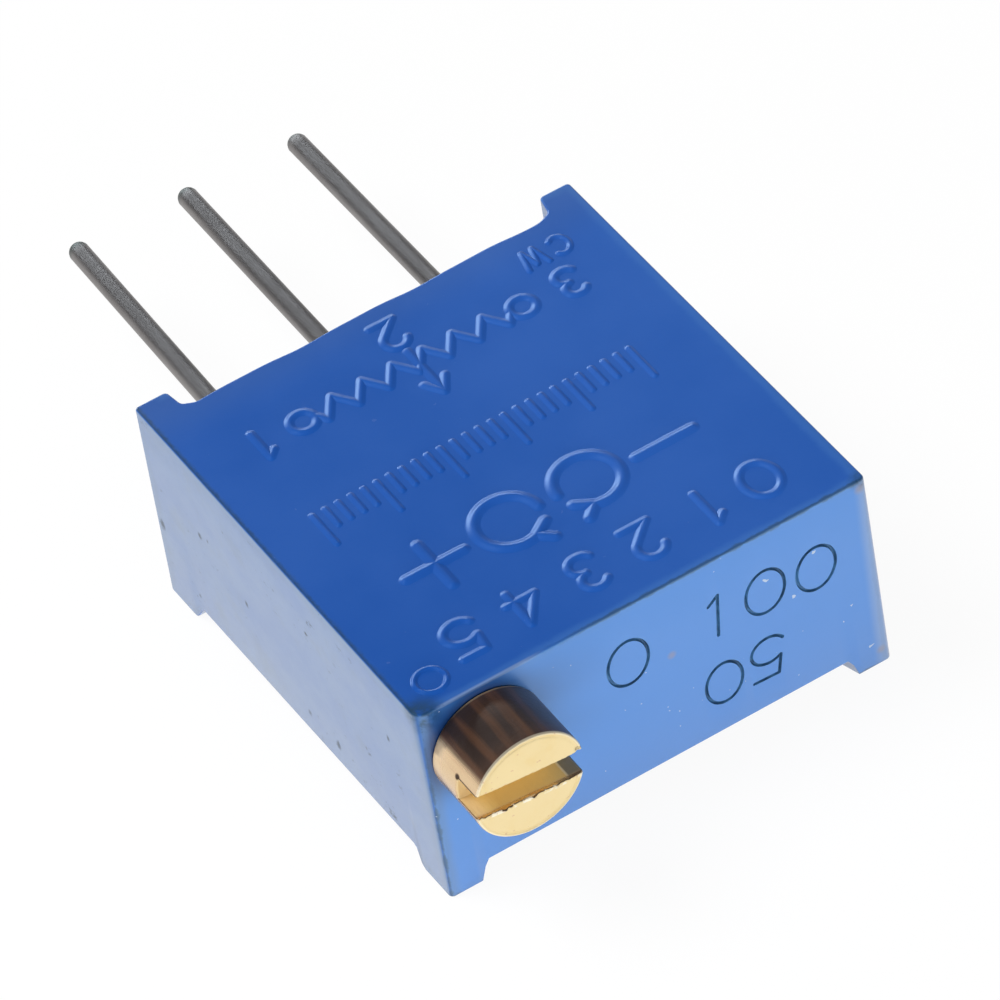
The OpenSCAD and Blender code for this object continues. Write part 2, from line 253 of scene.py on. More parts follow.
@dataclass(frozen=True)
class Outline:
    """A closed plan outline, with the outward direction at each of its points."""

    points: Array
    outward: Array

    @classmethod
    def rounded(
        cls, corners: Array, radii: Array, spacing: float, arc_steps: int = 6
    ) -> "Outline":
        """Rounds the corners of a polygon that runs anticlockwise.

        Each corner becomes an arc of its own radius that touches both its sides, and
        the straight runs between arcs are divided evenly. The number of points
        doesn't depend on the radii.

        Args:
            corners: Array of n x 2.
            radii: One radius for each corner.
            spacing: Longest step along a straight run.
            arc_steps: Steps along each arc.
        Returns:
            The outline.
        """

        def right_of(direction: Array) -> Array:
            """Turns directions a quarter to the right."""
            return np.stack([direction[..., 1], -direction[..., 0]], axis=-1)

        into = corners - np.roll(corners, 1, axis=0)
        into /= np.linalg.norm(into, axis=1, keepdims=True)
        away = np.roll(into, -1, axis=0)
        cross = into[:, 0] * away[:, 1] - into[:, 1] * away[:, 0]
        turn = np.arctan2(cross, (into * away).sum(axis=1))
        reach = (radii * np.tan(np.abs(turn) / 2))[:, None]
        starts, ends = corners - into * reach, corners + away * reach
        bend = np.sign(turn)[:, None]
        centres = starts - right_of(into) * radii[:, None] * bend
        points, outward = [], []
        for i in range(len(corners)):
            swing = np.linspace(0, turn[i], arc_steps + 1)
            start = right_of(into)[i]
            out = np.column_stack(
                [
                    start[0] * np.cos(swing) - start[1] * np.sin(swing),
                    start[0] * np.sin(swing) + start[1] * np.cos(swing)])
            points.append(centres[i] + out * radii[i] * bend[i])
            outward.append(out)
            run = np.roll(starts, -1, axis=0)[i] - ends[i]
            side = np.roll(corners, -1, axis=0)[i] - corners[i]
            parts = max(int(np.linalg.norm(side) / spacing), 1)
            share = np.arange(1, parts)[:, None] / parts
            points.append(ends[i] + share * run)
            outward.append(right_of(away)[i] + 0 * share * run)
        return cls(np.concatenate(points), np.concatenate(outward))


@dataclass(frozen=True)
class Layout:
    """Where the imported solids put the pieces, in millimetres."""

    side_x: float
    front_y: float
    label_z: float
    back_z: float
    axis_x: float
    axis_z: float
    head_r: float
    head_front_y: float
    wheel_x: float
    wheel_y: float
    ceramic_z: float
    film_top_z: float
    seat_x: float
    seat_front_y: float
    seat_rear_y: float
    potting_z: float
    pin_xs: tuple[float, float, float]
    pin_r: float
    pin_tip_y: float
    pin_tail_y: float
    screw_end_y: float
    rear_y: float = -0.5
    back_rim_z: float = -1.64
    chamber_top_z: float = 2.08

    @classmethod
    def from_frame(cls) -> "Layout":
        """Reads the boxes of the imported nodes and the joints."""
        low, high = (np.array(v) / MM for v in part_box("housing"))
        screw_low, screw_high = (np.array(v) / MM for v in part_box("adjustment_screw"))
        plate_low, _ = (np.array(v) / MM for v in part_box("ceramic_substrate"))
        _, film_high = (np.array(v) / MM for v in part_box("resistance_track"))
        cast_low, cast_high = (np.array(v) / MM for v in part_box("potting_seal"))
        pins = [[np.array(v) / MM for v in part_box(f"terminal_pin_{i}")] for i in (1, 2, 3)]
        wheel = next(j for j in frame["joints"] if j["name"] == "wheel_turn")
        return cls(
            side_x=high[0], front_y=low[1], label_z=high[2], back_z=low[2],
            axis_x=(screw_low[0] + screw_high[0]) / 2,
            axis_z=(screw_low[2] + screw_high[2]) / 2,
            head_r=(screw_high[0] - screw_low[0]) / 2, head_front_y=screw_low[1],
            wheel_x=wheel["pos_m"][0] / MM, wheel_y=wheel["pos_m"][1] / MM,
            ceramic_z=plate_low[2], film_top_z=film_high[2], seat_x=cast_high[0],
            seat_front_y=cast_low[1], seat_rear_y=-0.95, potting_z=cast_low[2],
            pin_xs=tuple((a[0] + b[0]) / 2 for a, b in pins),
            pin_r=(pins[0][1][0] - pins[0][0][0]) / 2, pin_tip_y=pins[0][1][1],
            pin_tail_y=pins[0][0][1], screw_end_y=screw_high[1])


# ------------------------------------------------------------- node sheets


class Sheet:
    """Adds shader nodes to a tree and joins them up."""

    def __init__(self, tree: Tree) -> None:
        """Keeps the tree that the nodes go into."""
        self.tree = tree

    def add(self, kind: str, **settings: object) -> Node:
        """Adds a node and sets its properties.

        Args:
            kind: The node's type without ShaderNode in front.
            settings: Properties of the node.
        Returns:
            The node.
        """
        node = self.tree.nodes.new("ShaderNode" + kind)
        for key, value in settings.items():
            setattr(node, key, value)
        return node

    def feed(self, socket: Socket, value: object) -> None:
        """Joins another socket to a socket, or sets a plain value or colour on it."""
        if isinstance(value, Socket):
            self.tree.links.new(value, socket)
        elif socket.type == "RGBA" and len(value) == 3:
            socket.default_value = (*value, 1.0)
        else:
            socket.default_value = value

    def call(self, kind: str, operation: str, values: tuple[object, ...]) -> Node:
        """A node of a kind with an operation, with its inputs fed in order."""
        node = self.add(kind, operation=operation)
        for socket, value in zip(node.inputs, values):
            self.feed(socket, value)
        return node

    def math(self, operation: str, *values: object) -> Socket:
        """One Math node.

        Args:
            operation: Its operation.
            values: Its inputs in order, sockets or numbers.
        Returns:
            Its output.
        """
        return self.call("Math", operation, values).outputs[0]

    def times(self, first: object, *more: object) -> Socket:
        """Multiplies all its inputs."""
        for value in more:
            first = self.math("MULTIPLY", first, value)
        return first

    def most(self, first: object, *more: object) -> Socket:
        """The largest of its inputs."""
        for value in more:
            first = self.math("MAXIMUM", first, value)
        return first

    def plus(self, value: object, added: object) -> Socket:
        """Adds two values."""
        return self.math("ADD", value, added)

    def less(self, value: object, taken: object) -> Socket:
        """Takes the second value from the first."""
        return self.math("SUBTRACT", value, taken)

    def rest(self, share: object) -> Socket:
        """What a share leaves of 1."""
        return self.math("SUBTRACT", 1.0, share)

    def scaled(self, value: object, factor: object, added: object) -> Socket:
        """A value times a factor, plus a third value."""
        return self.math("MULTIPLY_ADD", value, factor, added)

    def vector(self, operation: str, *values: object) -> Socket:
        """One Vector Math node; as math(), for vectors."""
        return self.call("VectorMath", operation, values).outputs[0]

    def distance(self, first: object, second: object) -> Socket:
        """How far one place is from another."""
        return self.call("VectorMath", "DISTANCE", (first, second)).outputs["Value"]

    def dot(self, first: object, second: object) -> Socket:
        """The dot product of two vectors."""
        return self.call("VectorMath", "DOT_PRODUCT", (first, second)).outputs["Value"]

    def parts(self, vector: object) -> list[Socket]:
        """Splits a vector into its X, Y and Z."""
        node = self.add("SeparateXYZ")
        self.feed(node.inputs[0], vector)
        return list(node.outputs)

    def beside_axis(self, place: Socket, x: float, z: float) -> Socket:
        """How far a place is from an axis that runs along Y through x and z."""
        return self.distance(self.stretch(place, (1, 0, 1)), (x, 0, z))

    def place(self) -> Socket:
        """Where a point of the piece lies, in millimetres."""
        return self.stretch(self.add("TexCoord").outputs["Object"], (1 / MM, 1 / MM, 1 / MM))

    def remap(
        self, value: object, low: float, high: float, to_low: float = 0.0, to_high: float = 1.0
    ) -> Socket:
        """A smooth step of value from low to high, put out between two numbers."""
        node = self.add("MapRange", interpolation_type="SMOOTHSTEP")
        for socket, given in zip(node.inputs, (value, low, high, to_low, to_high)):
            self.feed(socket, given)
        return node.outputs[0]

    def blend(self, share: object, first: object, second: object) -> Socket:
        """Mixes two colours by share, which runs from 0, first, to 1, second."""
        node = self.add("Mix", data_type="RGBA")
        self.feed(node.inputs[0], share)
        self.feed(node.inputs[6], first)
        self.feed(node.inputs[7], second)
        return node.outputs[2]

    def noise(self, place: object, scale: object, detail: float, roughness: float) -> Socket:
        """Noise around 0.5 at a place, with scale in features to a unit."""
        node = self.add("TexNoise")
        self.feed(node.inputs["Vector"], place)
        self.feed(node.inputs["Scale"], scale)
        node.inputs["Detail"].default_value = detail
        node.inputs["Roughness"].default_value = roughness
        return node.outputs["Fac"]

    def stretch(self, place: object, factors: Colour) -> Socket:
        """Multiplies a place by a factor along each axis."""
        return self.vector("MULTIPLY", place, factors)

    def group(self, tree: Tree, **inputs: object) -> list[Socket]:
        """Places a shared group, sets its named inputs and gives back its outputs."""
        node = self.add("Group")
        node.node_tree = tree
        for key, value in inputs.items():
            self.feed(node.inputs[key], value)
        return list(node.outputs)


def fresh_sheet(owner: Material | bpy.types.World) -> Sheet:
    """Switches nodes on for a material or a world, and empties its tree."""
    owner.use_nodes = True
    owner.node_tree.nodes.clear()
    return Sheet(owner.node_tree)


class GroupLibrary:
    """The shared effects, each one a node group that is made once."""

    def __init__(self) -> None:
        """Makes every group."""
        self.edge_wear_and_light = self._edge_wear_and_light()
        self.dust = self._dust()
        self.grain = self._grain()
        self.scuffs = self._scuffs()
        self.tarnish = self._tarnish()

    @staticmethod
    def _start(
        name: str, inputs: dict[str, tuple[str, object]], outputs: dict[str, str]
    ) -> tuple[Sheet, Sockets, Sockets]:
        """Makes an empty group.

        Args:
            name: The group's name.
            inputs: Name to kind of socket and first value.
            outputs: Name to kind of socket.
        Returns:
            A sheet for its nodes, the sockets that it is given and those that it puts out.
        """
        tree = bpy.data.node_groups.new(name, "ShaderNodeTree")
        for key, (kind, value) in inputs.items():
            socket = tree.interface.new_socket(
                key, in_out="INPUT", socket_type="NodeSocket" + kind)
            if value is not None:
                socket.default_value = value
        for key, kind in outputs.items():
            tree.interface.new_socket(key, in_out="OUTPUT", socket_type="NodeSocket" + kind)
        given, put = (tree.nodes.new("NodeGroup" + way) for way in ("Input", "Output"))
        return Sheet(tree), given.outputs, put.inputs

    def _edge_wear_and_light(self) -> Tree:
        """Mask along the edges of a box, used for wear, dirt and painted edge highlights.

        The distance to an edge is the middle one of a point's distances to the box's
        faces along X, Y and Z. The mask falls off over Width, broken up by noise.
        """
        sheet, given, put = self._start(
            "edge_wear_and_light",
            {
                "Low": ("Vector", None), "High": ("Vector", None), "Width": ("Float", 0.1),
                "Breakup": ("Float", 0.5), "Scale": ("Float", 2.0)},
            {"Mask": "Float", "Distance": "Float"})
        place = sheet.place()
        from_low = sheet.vector("ABSOLUTE", sheet.vector("SUBTRACT", place, given["Low"]))
        from_high = sheet.vector("ABSOLUTE", sheet.vector("SUBTRACT", given["High"], place))
        x, y, z = sheet.parts(sheet.vector("MINIMUM", from_low, from_high))
        low_two, high_two = (sheet.math("MINIMUM", x, y), sheet.most(x, y))
        middle = sheet.most(low_two, sheet.math("MINIMUM", high_two, z))
        noise = sheet.noise(place, given["Scale"], 5, 0.65)
        shift = sheet.times(sheet.less(noise, 0.5), given["Breakup"])
        reach = sheet.times(given["Width"], sheet.plus(1.0, shift))
        share = sheet.math("DIVIDE", middle, sheet.most(reach, 0.001))
        mask = sheet.remap(share, 0.35, 1.0, 1.0, 0.0)
        sheet.feed(put["Mask"], mask)
        sheet.feed(put["Distance"], middle)
        return sheet.tree

    def _dust(self) -> Tree:
        """Mask of small ragged specks, a Voronoi cell in every so many holding one."""
        sheet, given, put = self._start(
            "dust_specks",
            {"Scale": ("Float", 3.0), "Size": ("Float", 0.1), "Share": ("Float", 0.3)},
            {"Mask": "Float"})
        place = sheet.place()
        ragged = sheet.add("TexNoise")
        sheet.feed(ragged.inputs["Vector"], place)
        sheet.feed(ragged.inputs["Scale"], 9.0)
        shift = sheet.stretch(
            sheet.vector("SUBTRACT", ragged.outputs["Color"], (0.5, 0.5, 0.5)),
            (0.16, 0.16, 0.16))
        cells = sheet.add("TexVoronoi", feature="F1")
        sheet.feed(cells.inputs["Vector"], sheet.vector("ADD", place, shift))
        sheet.feed(cells.inputs["Scale"], given["Scale"])
        pick = sheet.add("SeparateColor")
        sheet.feed(pick.inputs[0], cells.outputs["Color"])
        radius = sheet.times(given["Size"], pick.outputs[1])
        inside = sheet.math("LESS_THAN", cells.outputs["Distance"], radius)
        chosen = sheet.math("LESS_THAN", pick.outputs[0], given["Share"])
        sheet.feed(put["Mask"], sheet.times(inside, chosen))
        return sheet.tree

    def _grain(self) -> Tree:
        """Fine moulded grain: coarse and fine noise added, as a height and a mask."""
        sheet, given, put = self._start(
            "moulded_grain", {"Coarse": ("Float", 0.6), "Fine": ("Float", 12.0)},
            {"Height": "Float", "Cloud": "Float"})
        place = sheet.place()
        coarse = sheet.noise(place, given["Coarse"], 4, 0.6)
        fine = sheet.noise(place, given["Fine"], 3, 0.6)
        sheet.feed(put["Height"], sheet.scaled(coarse, 3.0, fine))
        sheet.feed(put["Cloud"], coarse)
        return sheet.tree

    def _scuffs(self) -> Tree:
        """Uneven lightness around 0, and small dark nicks that lie in clusters."""
        sheet, given, put = self._start(
            "scuffs", {"Lines": ("Vector", None), "Amount": ("Float", 0.5)},
            {"Light": "Float", "Dark": "Float"})
        place = sheet.place()
        drawn = sheet.vector("MULTIPLY", place, given["Lines"])
        light = sheet.noise(drawn, 0.8, 6, 0.7)
        dark = sheet.noise(sheet.vector("ADD", drawn, (7.1, 3.3, 5.7)), 4.2, 4, 0.75)
        patch = sheet.remap(sheet.noise(place, 0.75, 3, 0.6), 0.45, 0.68)
        sheet.feed(
            put["Light"],
            sheet.times(sheet.less(sheet.remap(light, 0.3, 0.7), 0.5), given["Amount"]))
        sheet.feed(
            put["Dark"], sheet.times(sheet.remap(dark, 0.6, 0.7), patch, given["Amount"]))
        return sheet.tree

    def _tarnish(self) -> Tree:
        """Two noises for metals: a broad stain and a fine one drawn out along Lines."""
        sheet, given, put = self._start(
            "tarnish", {"Scale": ("Float", 1.0), "Lines": ("Vector", None)},
            {"Stain": "Float", "Streak": "Float"})
        place = sheet.place()
        sheet.feed(put["Stain"], sheet.noise(place, given["Scale"], 5, 0.6))
        drawn = sheet.vector("MULTIPLY", place, given["Lines"])
        sheet.feed(put["Streak"], sheet.noise(drawn, 1.0, 4, 0.6))
        return sheet.tree


# ---------------------------------------------------------------- finishes


@dataclass(frozen=True)
class Finish:
    """What all finishes share: a Principled BSDF with a few settings of its own."""

    name: str = "finish"
    roughness: float = 0.4
    metallic: float = 0.0
    specular: float = 0.5
    coat_roughness: float = 0.25

    def start(self) -> tuple[Material, Sheet, Node]:
        """Makes the material.

        Returns:
            The material, a sheet for its nodes and its Principled BSDF.
        """
        material = bpy.data.materials.new(self.name)
        sheet = fresh_sheet(material)
        shader = sheet.add("BsdfPrincipled")
        for key, value in (
            ("Roughness", self.roughness), ("Metallic", self.metallic),
            ("Specular IOR Level", self.specular), ("Coat Roughness", self.coat_roughness)
        ):
            shader.inputs[key].default_value = value
        out = sheet.add("OutputMaterial")
        sheet.feed(out.inputs["Surface"], shader.outputs[0])
        return material, sheet, shader

    def emboss(self, sheet: Sheet, shader: Node, height: Socket, depth: float) -> None:
        """Bumps the shader's normal by a height whose unit stands for depth metres."""
        bump = sheet.add("Bump")
        bump.inputs["Strength"].default_value = 1.0
        bump.inputs["Distance"].default_value = depth
        sheet.feed(bump.inputs["Height"], height)
        sheet.feed(shader.inputs["Normal"], bump.outputs[0])


@dataclass(frozen=True)
class BluePlastic(Finish):
    """Moulded blue plastic with satin faces, dusty flanks and rubbed, grubby edges, and painted
    light.
    """

    name: str = "blue_plastic"
    roughness: float = 0.30
    specular: float = 0.85
    specular_tint: Colour = (0.42, 0.72, 1.0)
    colour: Colour = (0.008, 0.086, 0.425)
    light_colour: Colour = (0.022, 0.118, 0.505)
    lit_front_colour: Colour = (0.069, 0.266, 0.735)
    dust_and_sheen_colour: Colour = (0.37, 0.47, 0.52)
    dirt_colour: Colour = (0.15, 0.19, 0.20)
    grime_colour: Colour = (0.040, 0.072, 0.080)
    rubbed_and_highlit_colour: Colour = (0.09, 0.27, 0.64)
    pale_colour: Colour = (0.29, 0.39, 0.60)
    shadow_colour: Colour = (0.004, 0.030, 0.150)
    stain_colour: Colour = (0.34, 0.26, 0.24)
    speck_colour: Colour = (0.62, 0.70, 0.80)
    line_colour: Colour = (0.020, 0.050, 0.105)
    nick_colour: Colour = (0.018, 0.032, 0.055)
    corner_colour: Colour = (0.016, 0.052, 0.105)
    flank_dust_and_sheen: float = 0.42
    nicks: tuple[tuple[float, float, float], ...] = (
        (-1.88, 0.83, 0.11), (-2.2, 0.93, 0.07), (-0.24, -0.19, 0.16), (-3.44, 0.26, 0.09),
        (-5.36, -1.07, 0.11), (-8.65, 1.03, 0.08), (-6.36, -1.09, 0.13))
    stains: tuple[tuple[float, float, float], ...] = (
        (0.4, 0.93, 0.13), (4.66, 2.5, 0.16), (4.7, -1.75, 0.14))

    def material(self, shared: GroupLibrary, layout: Layout) -> Material:
        """Builds the material.

        Args:
            shared: The shared effects.
            layout: Gives the body's box for the edges.
        Returns:
            The material.
        """
        material, sheet, shader = self.start()
        sheet.feed(shader.inputs["Specular Tint"], self.specular_tint)
        low = (-layout.side_x, layout.front_y, layout.back_z)
        high = (layout.side_x, 0.0, layout.label_z)
        height, cloud = sheet.group(shared.grain, Coarse=0.35, Fine=14.0)
        place = sheet.place()
        axes = sheet.parts(place)
        facing = sheet.parts(sheet.add("NewGeometry").outputs["Normal"])
        flank = sheet.remap(sheet.math("ABSOLUTE", facing[0]), 0.75, 0.95)
        front = sheet.remap(facing[1], -0.55, -0.92)
        top = sheet.remap(facing[2], 0.6, 0.95)

        # Broad unevenness of the moulded colour, with painted light: a gradient that grows
        # lighter to the right, and a paler front, painted as if more brightly lit.
        lighter = sheet.scaled(
            sheet.remap(cloud, 0.3, 0.7), 0.3,
            sheet.remap(axes[0], -layout.side_x, layout.side_x, 0.05, 0.75))
        colour = sheet.blend(lighter, self.colour, self.light_colour)
        colour = sheet.blend(sheet.times(front, 0.9), colour, self.lit_front_colour)

        # An even pale film on the two flanks, partly dust and partly a painted sheen that
        # stands in for the reflection of the floor.
        light, dark = sheet.group(shared.scuffs, Lines=(1.2, 0.8, 1.2), Amount=1.0)
        film = sheet.times(flank, sheet.scaled(light, 0.1, self.flank_dust_and_sheen))
        colour = sheet.blend(film, colour, self.dust_and_sheen_colour)

        # Light bands close to the edges, partly rubbed wear and partly painted highlights
        # on the rounded edges.
        rubbed_and_highlit, to_edge = sheet.group(
            shared.edge_wear_and_light, Low=low, High=high, Width=0.24, Breakup=1.2, Scale=1.1)
        over_left = sheet.remap(axes[0], 0.3 - layout.side_x, 0.5 - layout.side_x)
        kept = sheet.most(over_left, sheet.rest(top))
        colour = sheet.blend(sheet.times(rubbed_and_highlit, 0.22, kept), colour, self.rubbed_and_highlit_colour)

        # A thin broken dark line along the left edge of the label.
        ragged = sheet.noise(place, 7.0, 4, 0.7)
        from_left = sheet.plus(axes[0], layout.side_x)
        thin = sheet.remap(sheet.scaled(ragged, 0.16, from_left), 0.05, 0.13, 0.7, 0.0)
        colour = sheet.blend(sheet.times(thin, top), colour, self.line_colour)

        # A painted highlight: the right end of the front is painted pale.
        by_right = sheet.remap(axes[0], layout.side_x - 0.27, layout.side_x)
        colour = sheet.blend(
            sheet.times(by_right, sheet.scaled(top, -0.6, 0.6)), colour, self.pale_colour)

        # A painted highlight: a thin pale line along the front edge of the label, over the
        # screw.
        pale = sheet.times(
            sheet.remap(to_edge, 0.025, 0.07, 0.55, 0.0),
            sheet.remap(axes[2], layout.label_z - 0.3, layout.label_z - 0.1),
            sheet.remap(axes[1], -9.6, -9.8), sheet.remap(axes[0], -4.5, -4.2),
            sheet.remap(axes[0], -2.0, -2.6))
        colour = sheet.blend(pale, colour, self.pale_colour)

        # Dirt on the flanks, in blotches and towards their edges, and a little of it
        # on the left end of the front and along the rear of the label.
        outer, _ = sheet.group(
            shared.edge_wear_and_light, Low=low, High=high, Width=0.42, Breakup=2.6, Scale=1.5)
        by_left = sheet.remap(sheet.plus(axes[0], layout.side_x), 0.06, 0.3, 1.0, 0.0)
        blotch = sheet.remap(sheet.noise(place, 0.9, 5, 0.65), 0.5, 0.75, 0.0, 0.25)
        by_rear = sheet.remap(axes[1], -1.6, -0.1, 0.0, 0.14)
        dirt = sheet.most(
            sheet.times(flank, sheet.most(sheet.times(outer, 0.2), blotch)),
            sheet.times(front, by_left, 0.3), sheet.times(top, by_rear))
        colour = sheet.blend(dirt, colour, self.dirt_colour)

        # Grime: nicks on the flanks, and broken dark lines along the edges, most of
        # all down the edge between the left flank and the front.
        dirty, _ = sheet.group(
            shared.edge_wear_and_light, Low=low, High=high, Width=0.075, Breakup=3.2, Scale=2.6)
        nicks = sheet.times(dark, flank)
        tall = sheet.stretch(place, (1, 1.5, 1))
        for y, z, size in self.nicks:
            away = sheet.distance(tall, (-layout.side_x - 0.05, y * 1.5, z))
            away = sheet.scaled(ragged, size * 2.4, away)
            nicks = sheet.most(nicks, sheet.remap(away, size * 1.5, size * 2.4, 0.85, 0.0))
        over_screw = sheet.remap(axes[0], -2.4, -0.6, 0.06, 0.65)
        ahead = sheet.less(axes[1], layout.front_y)
        near_front = sheet.remap(ahead, 0.1, 0.35, 1.0, 0.0)
        edges = sheet.most(
            sheet.times(by_left, sheet.scaled(near_front, 0.5, 0.15)),
            sheet.times(near_front, over_screw, sheet.rest(by_right)),
            sheet.scaled(sheet.remap(axes[2], -1.3, -1.5, 0.0, 0.4), flank, 0.08))
        grime = sheet.times(dirty, edges)
        colour = sheet.blend(nicks, colour, self.nick_colour)

        # A dark smudge at the corner over the screw, partly dirt and partly painted shade
        # from the screw's head, and a smaller one opposite.
        aside = sheet.add("CombineXYZ")
        sheet.feed(aside.inputs[0], sheet.math("ABSOLUTE", axes[0]))
        sheet.feed(aside.inputs[1], axes[1])
        sheet.feed(aside.inputs[2], axes[2])
        corner = sheet.distance(
            aside.outputs[0], (layout.side_x - 0.05, layout.front_y, layout.label_z))
        corner = sheet.times(corner, sheet.remap(axes[0], -1, 1, 1.0, 2.2))
        smudge_and_shade = sheet.times(
            sheet.remap(corner, 0.15, 0.68, 0.9, 0.0),
            sheet.remap(sheet.noise(place, 2.6, 4, 0.7), 0.36, 0.6, 0.35, 1.0))
        colour = sheet.blend(grime, colour, self.grime_colour)
        colour = sheet.blend(smudge_and_shade, colour, self.corner_colour)

        # The front is deeper in tone round the upper left of the screw's head.
        beside = sheet.beside_axis(place, layout.axis_x, layout.axis_z)
        side = sheet.less(axes[2], axes[0])
        middle = layout.axis_z - layout.axis_x
        shadow = sheet.times(
            front, sheet.remap(beside, layout.head_r - 0.1, layout.head_r + 0.55, 0.95, 0.0),
            sheet.remap(side, middle - 0.5, middle + 1.0))
        colour = sheet.blend(shadow, colour, self.shadow_colour)

        # Small brown stains on the front and at its right end.
        for x, z, reach in self.stains:
            spot = sheet.distance(place, (x, layout.front_y, z))
            colour = sheet.blend(
                sheet.remap(spot, 0.02, reach, 0.5, 0.0), colour, self.stain_colour)

        # Pale dust specks, fewest of them on the label.
        white = sheet.most(
            *sheet.group(shared.dust, Scale=2.0, Size=0.10, Share=0.10),
            *sheet.group(shared.dust, Scale=5.5, Size=0.11, Share=0.08))
        white = sheet.times(white, sheet.scaled(top, -0.93, 1.0), 0.8)
        colour = sheet.blend(white, colour, self.speck_colour)
        sheet.feed(shader.inputs["Base Color"], colour)
        sheet.feed(
            shader.inputs["Coat Weight"],
            sheet.times(sheet.most(front, sheet.times(flank, 0.6)), sheet.rest(nicks)))
        sheet.feed(
            shader.inputs["Roughness"],
            sheet.scaled(cloud, 0.12, sheet.scaled(flank, 0.08, self.roughness - 0.06)))
        self.emboss(sheet, shader, height, 1.2e-6)
        return material


@dataclass(frozen=True)
class MarkShade(Finish):
    """Painted shade on the dark walls of the marks that are pressed into the front."""

    name: str = "mark_shade"
    roughness: float = 0.55
    colour: Colour = (0.020, 0.075, 0.17)
    pale_colour: Colour = (0.07, 0.22, 0.44)

    def material(self, shared: GroupLibrary) -> Material:
        """Builds the material from the shared effects."""
        material, sheet, shader = self.start()
        height, cloud = sheet.group(shared.grain, Coarse=3.0, Fine=20.0)
        share = sheet.remap(cloud, 0.35, 0.7)
        sheet.feed(
            shader.inputs["Base Color"], sheet.blend(share, self.colour, self.pale_colour))
        self.emboss(sheet, shader, height, 1.5e-6)
        return material


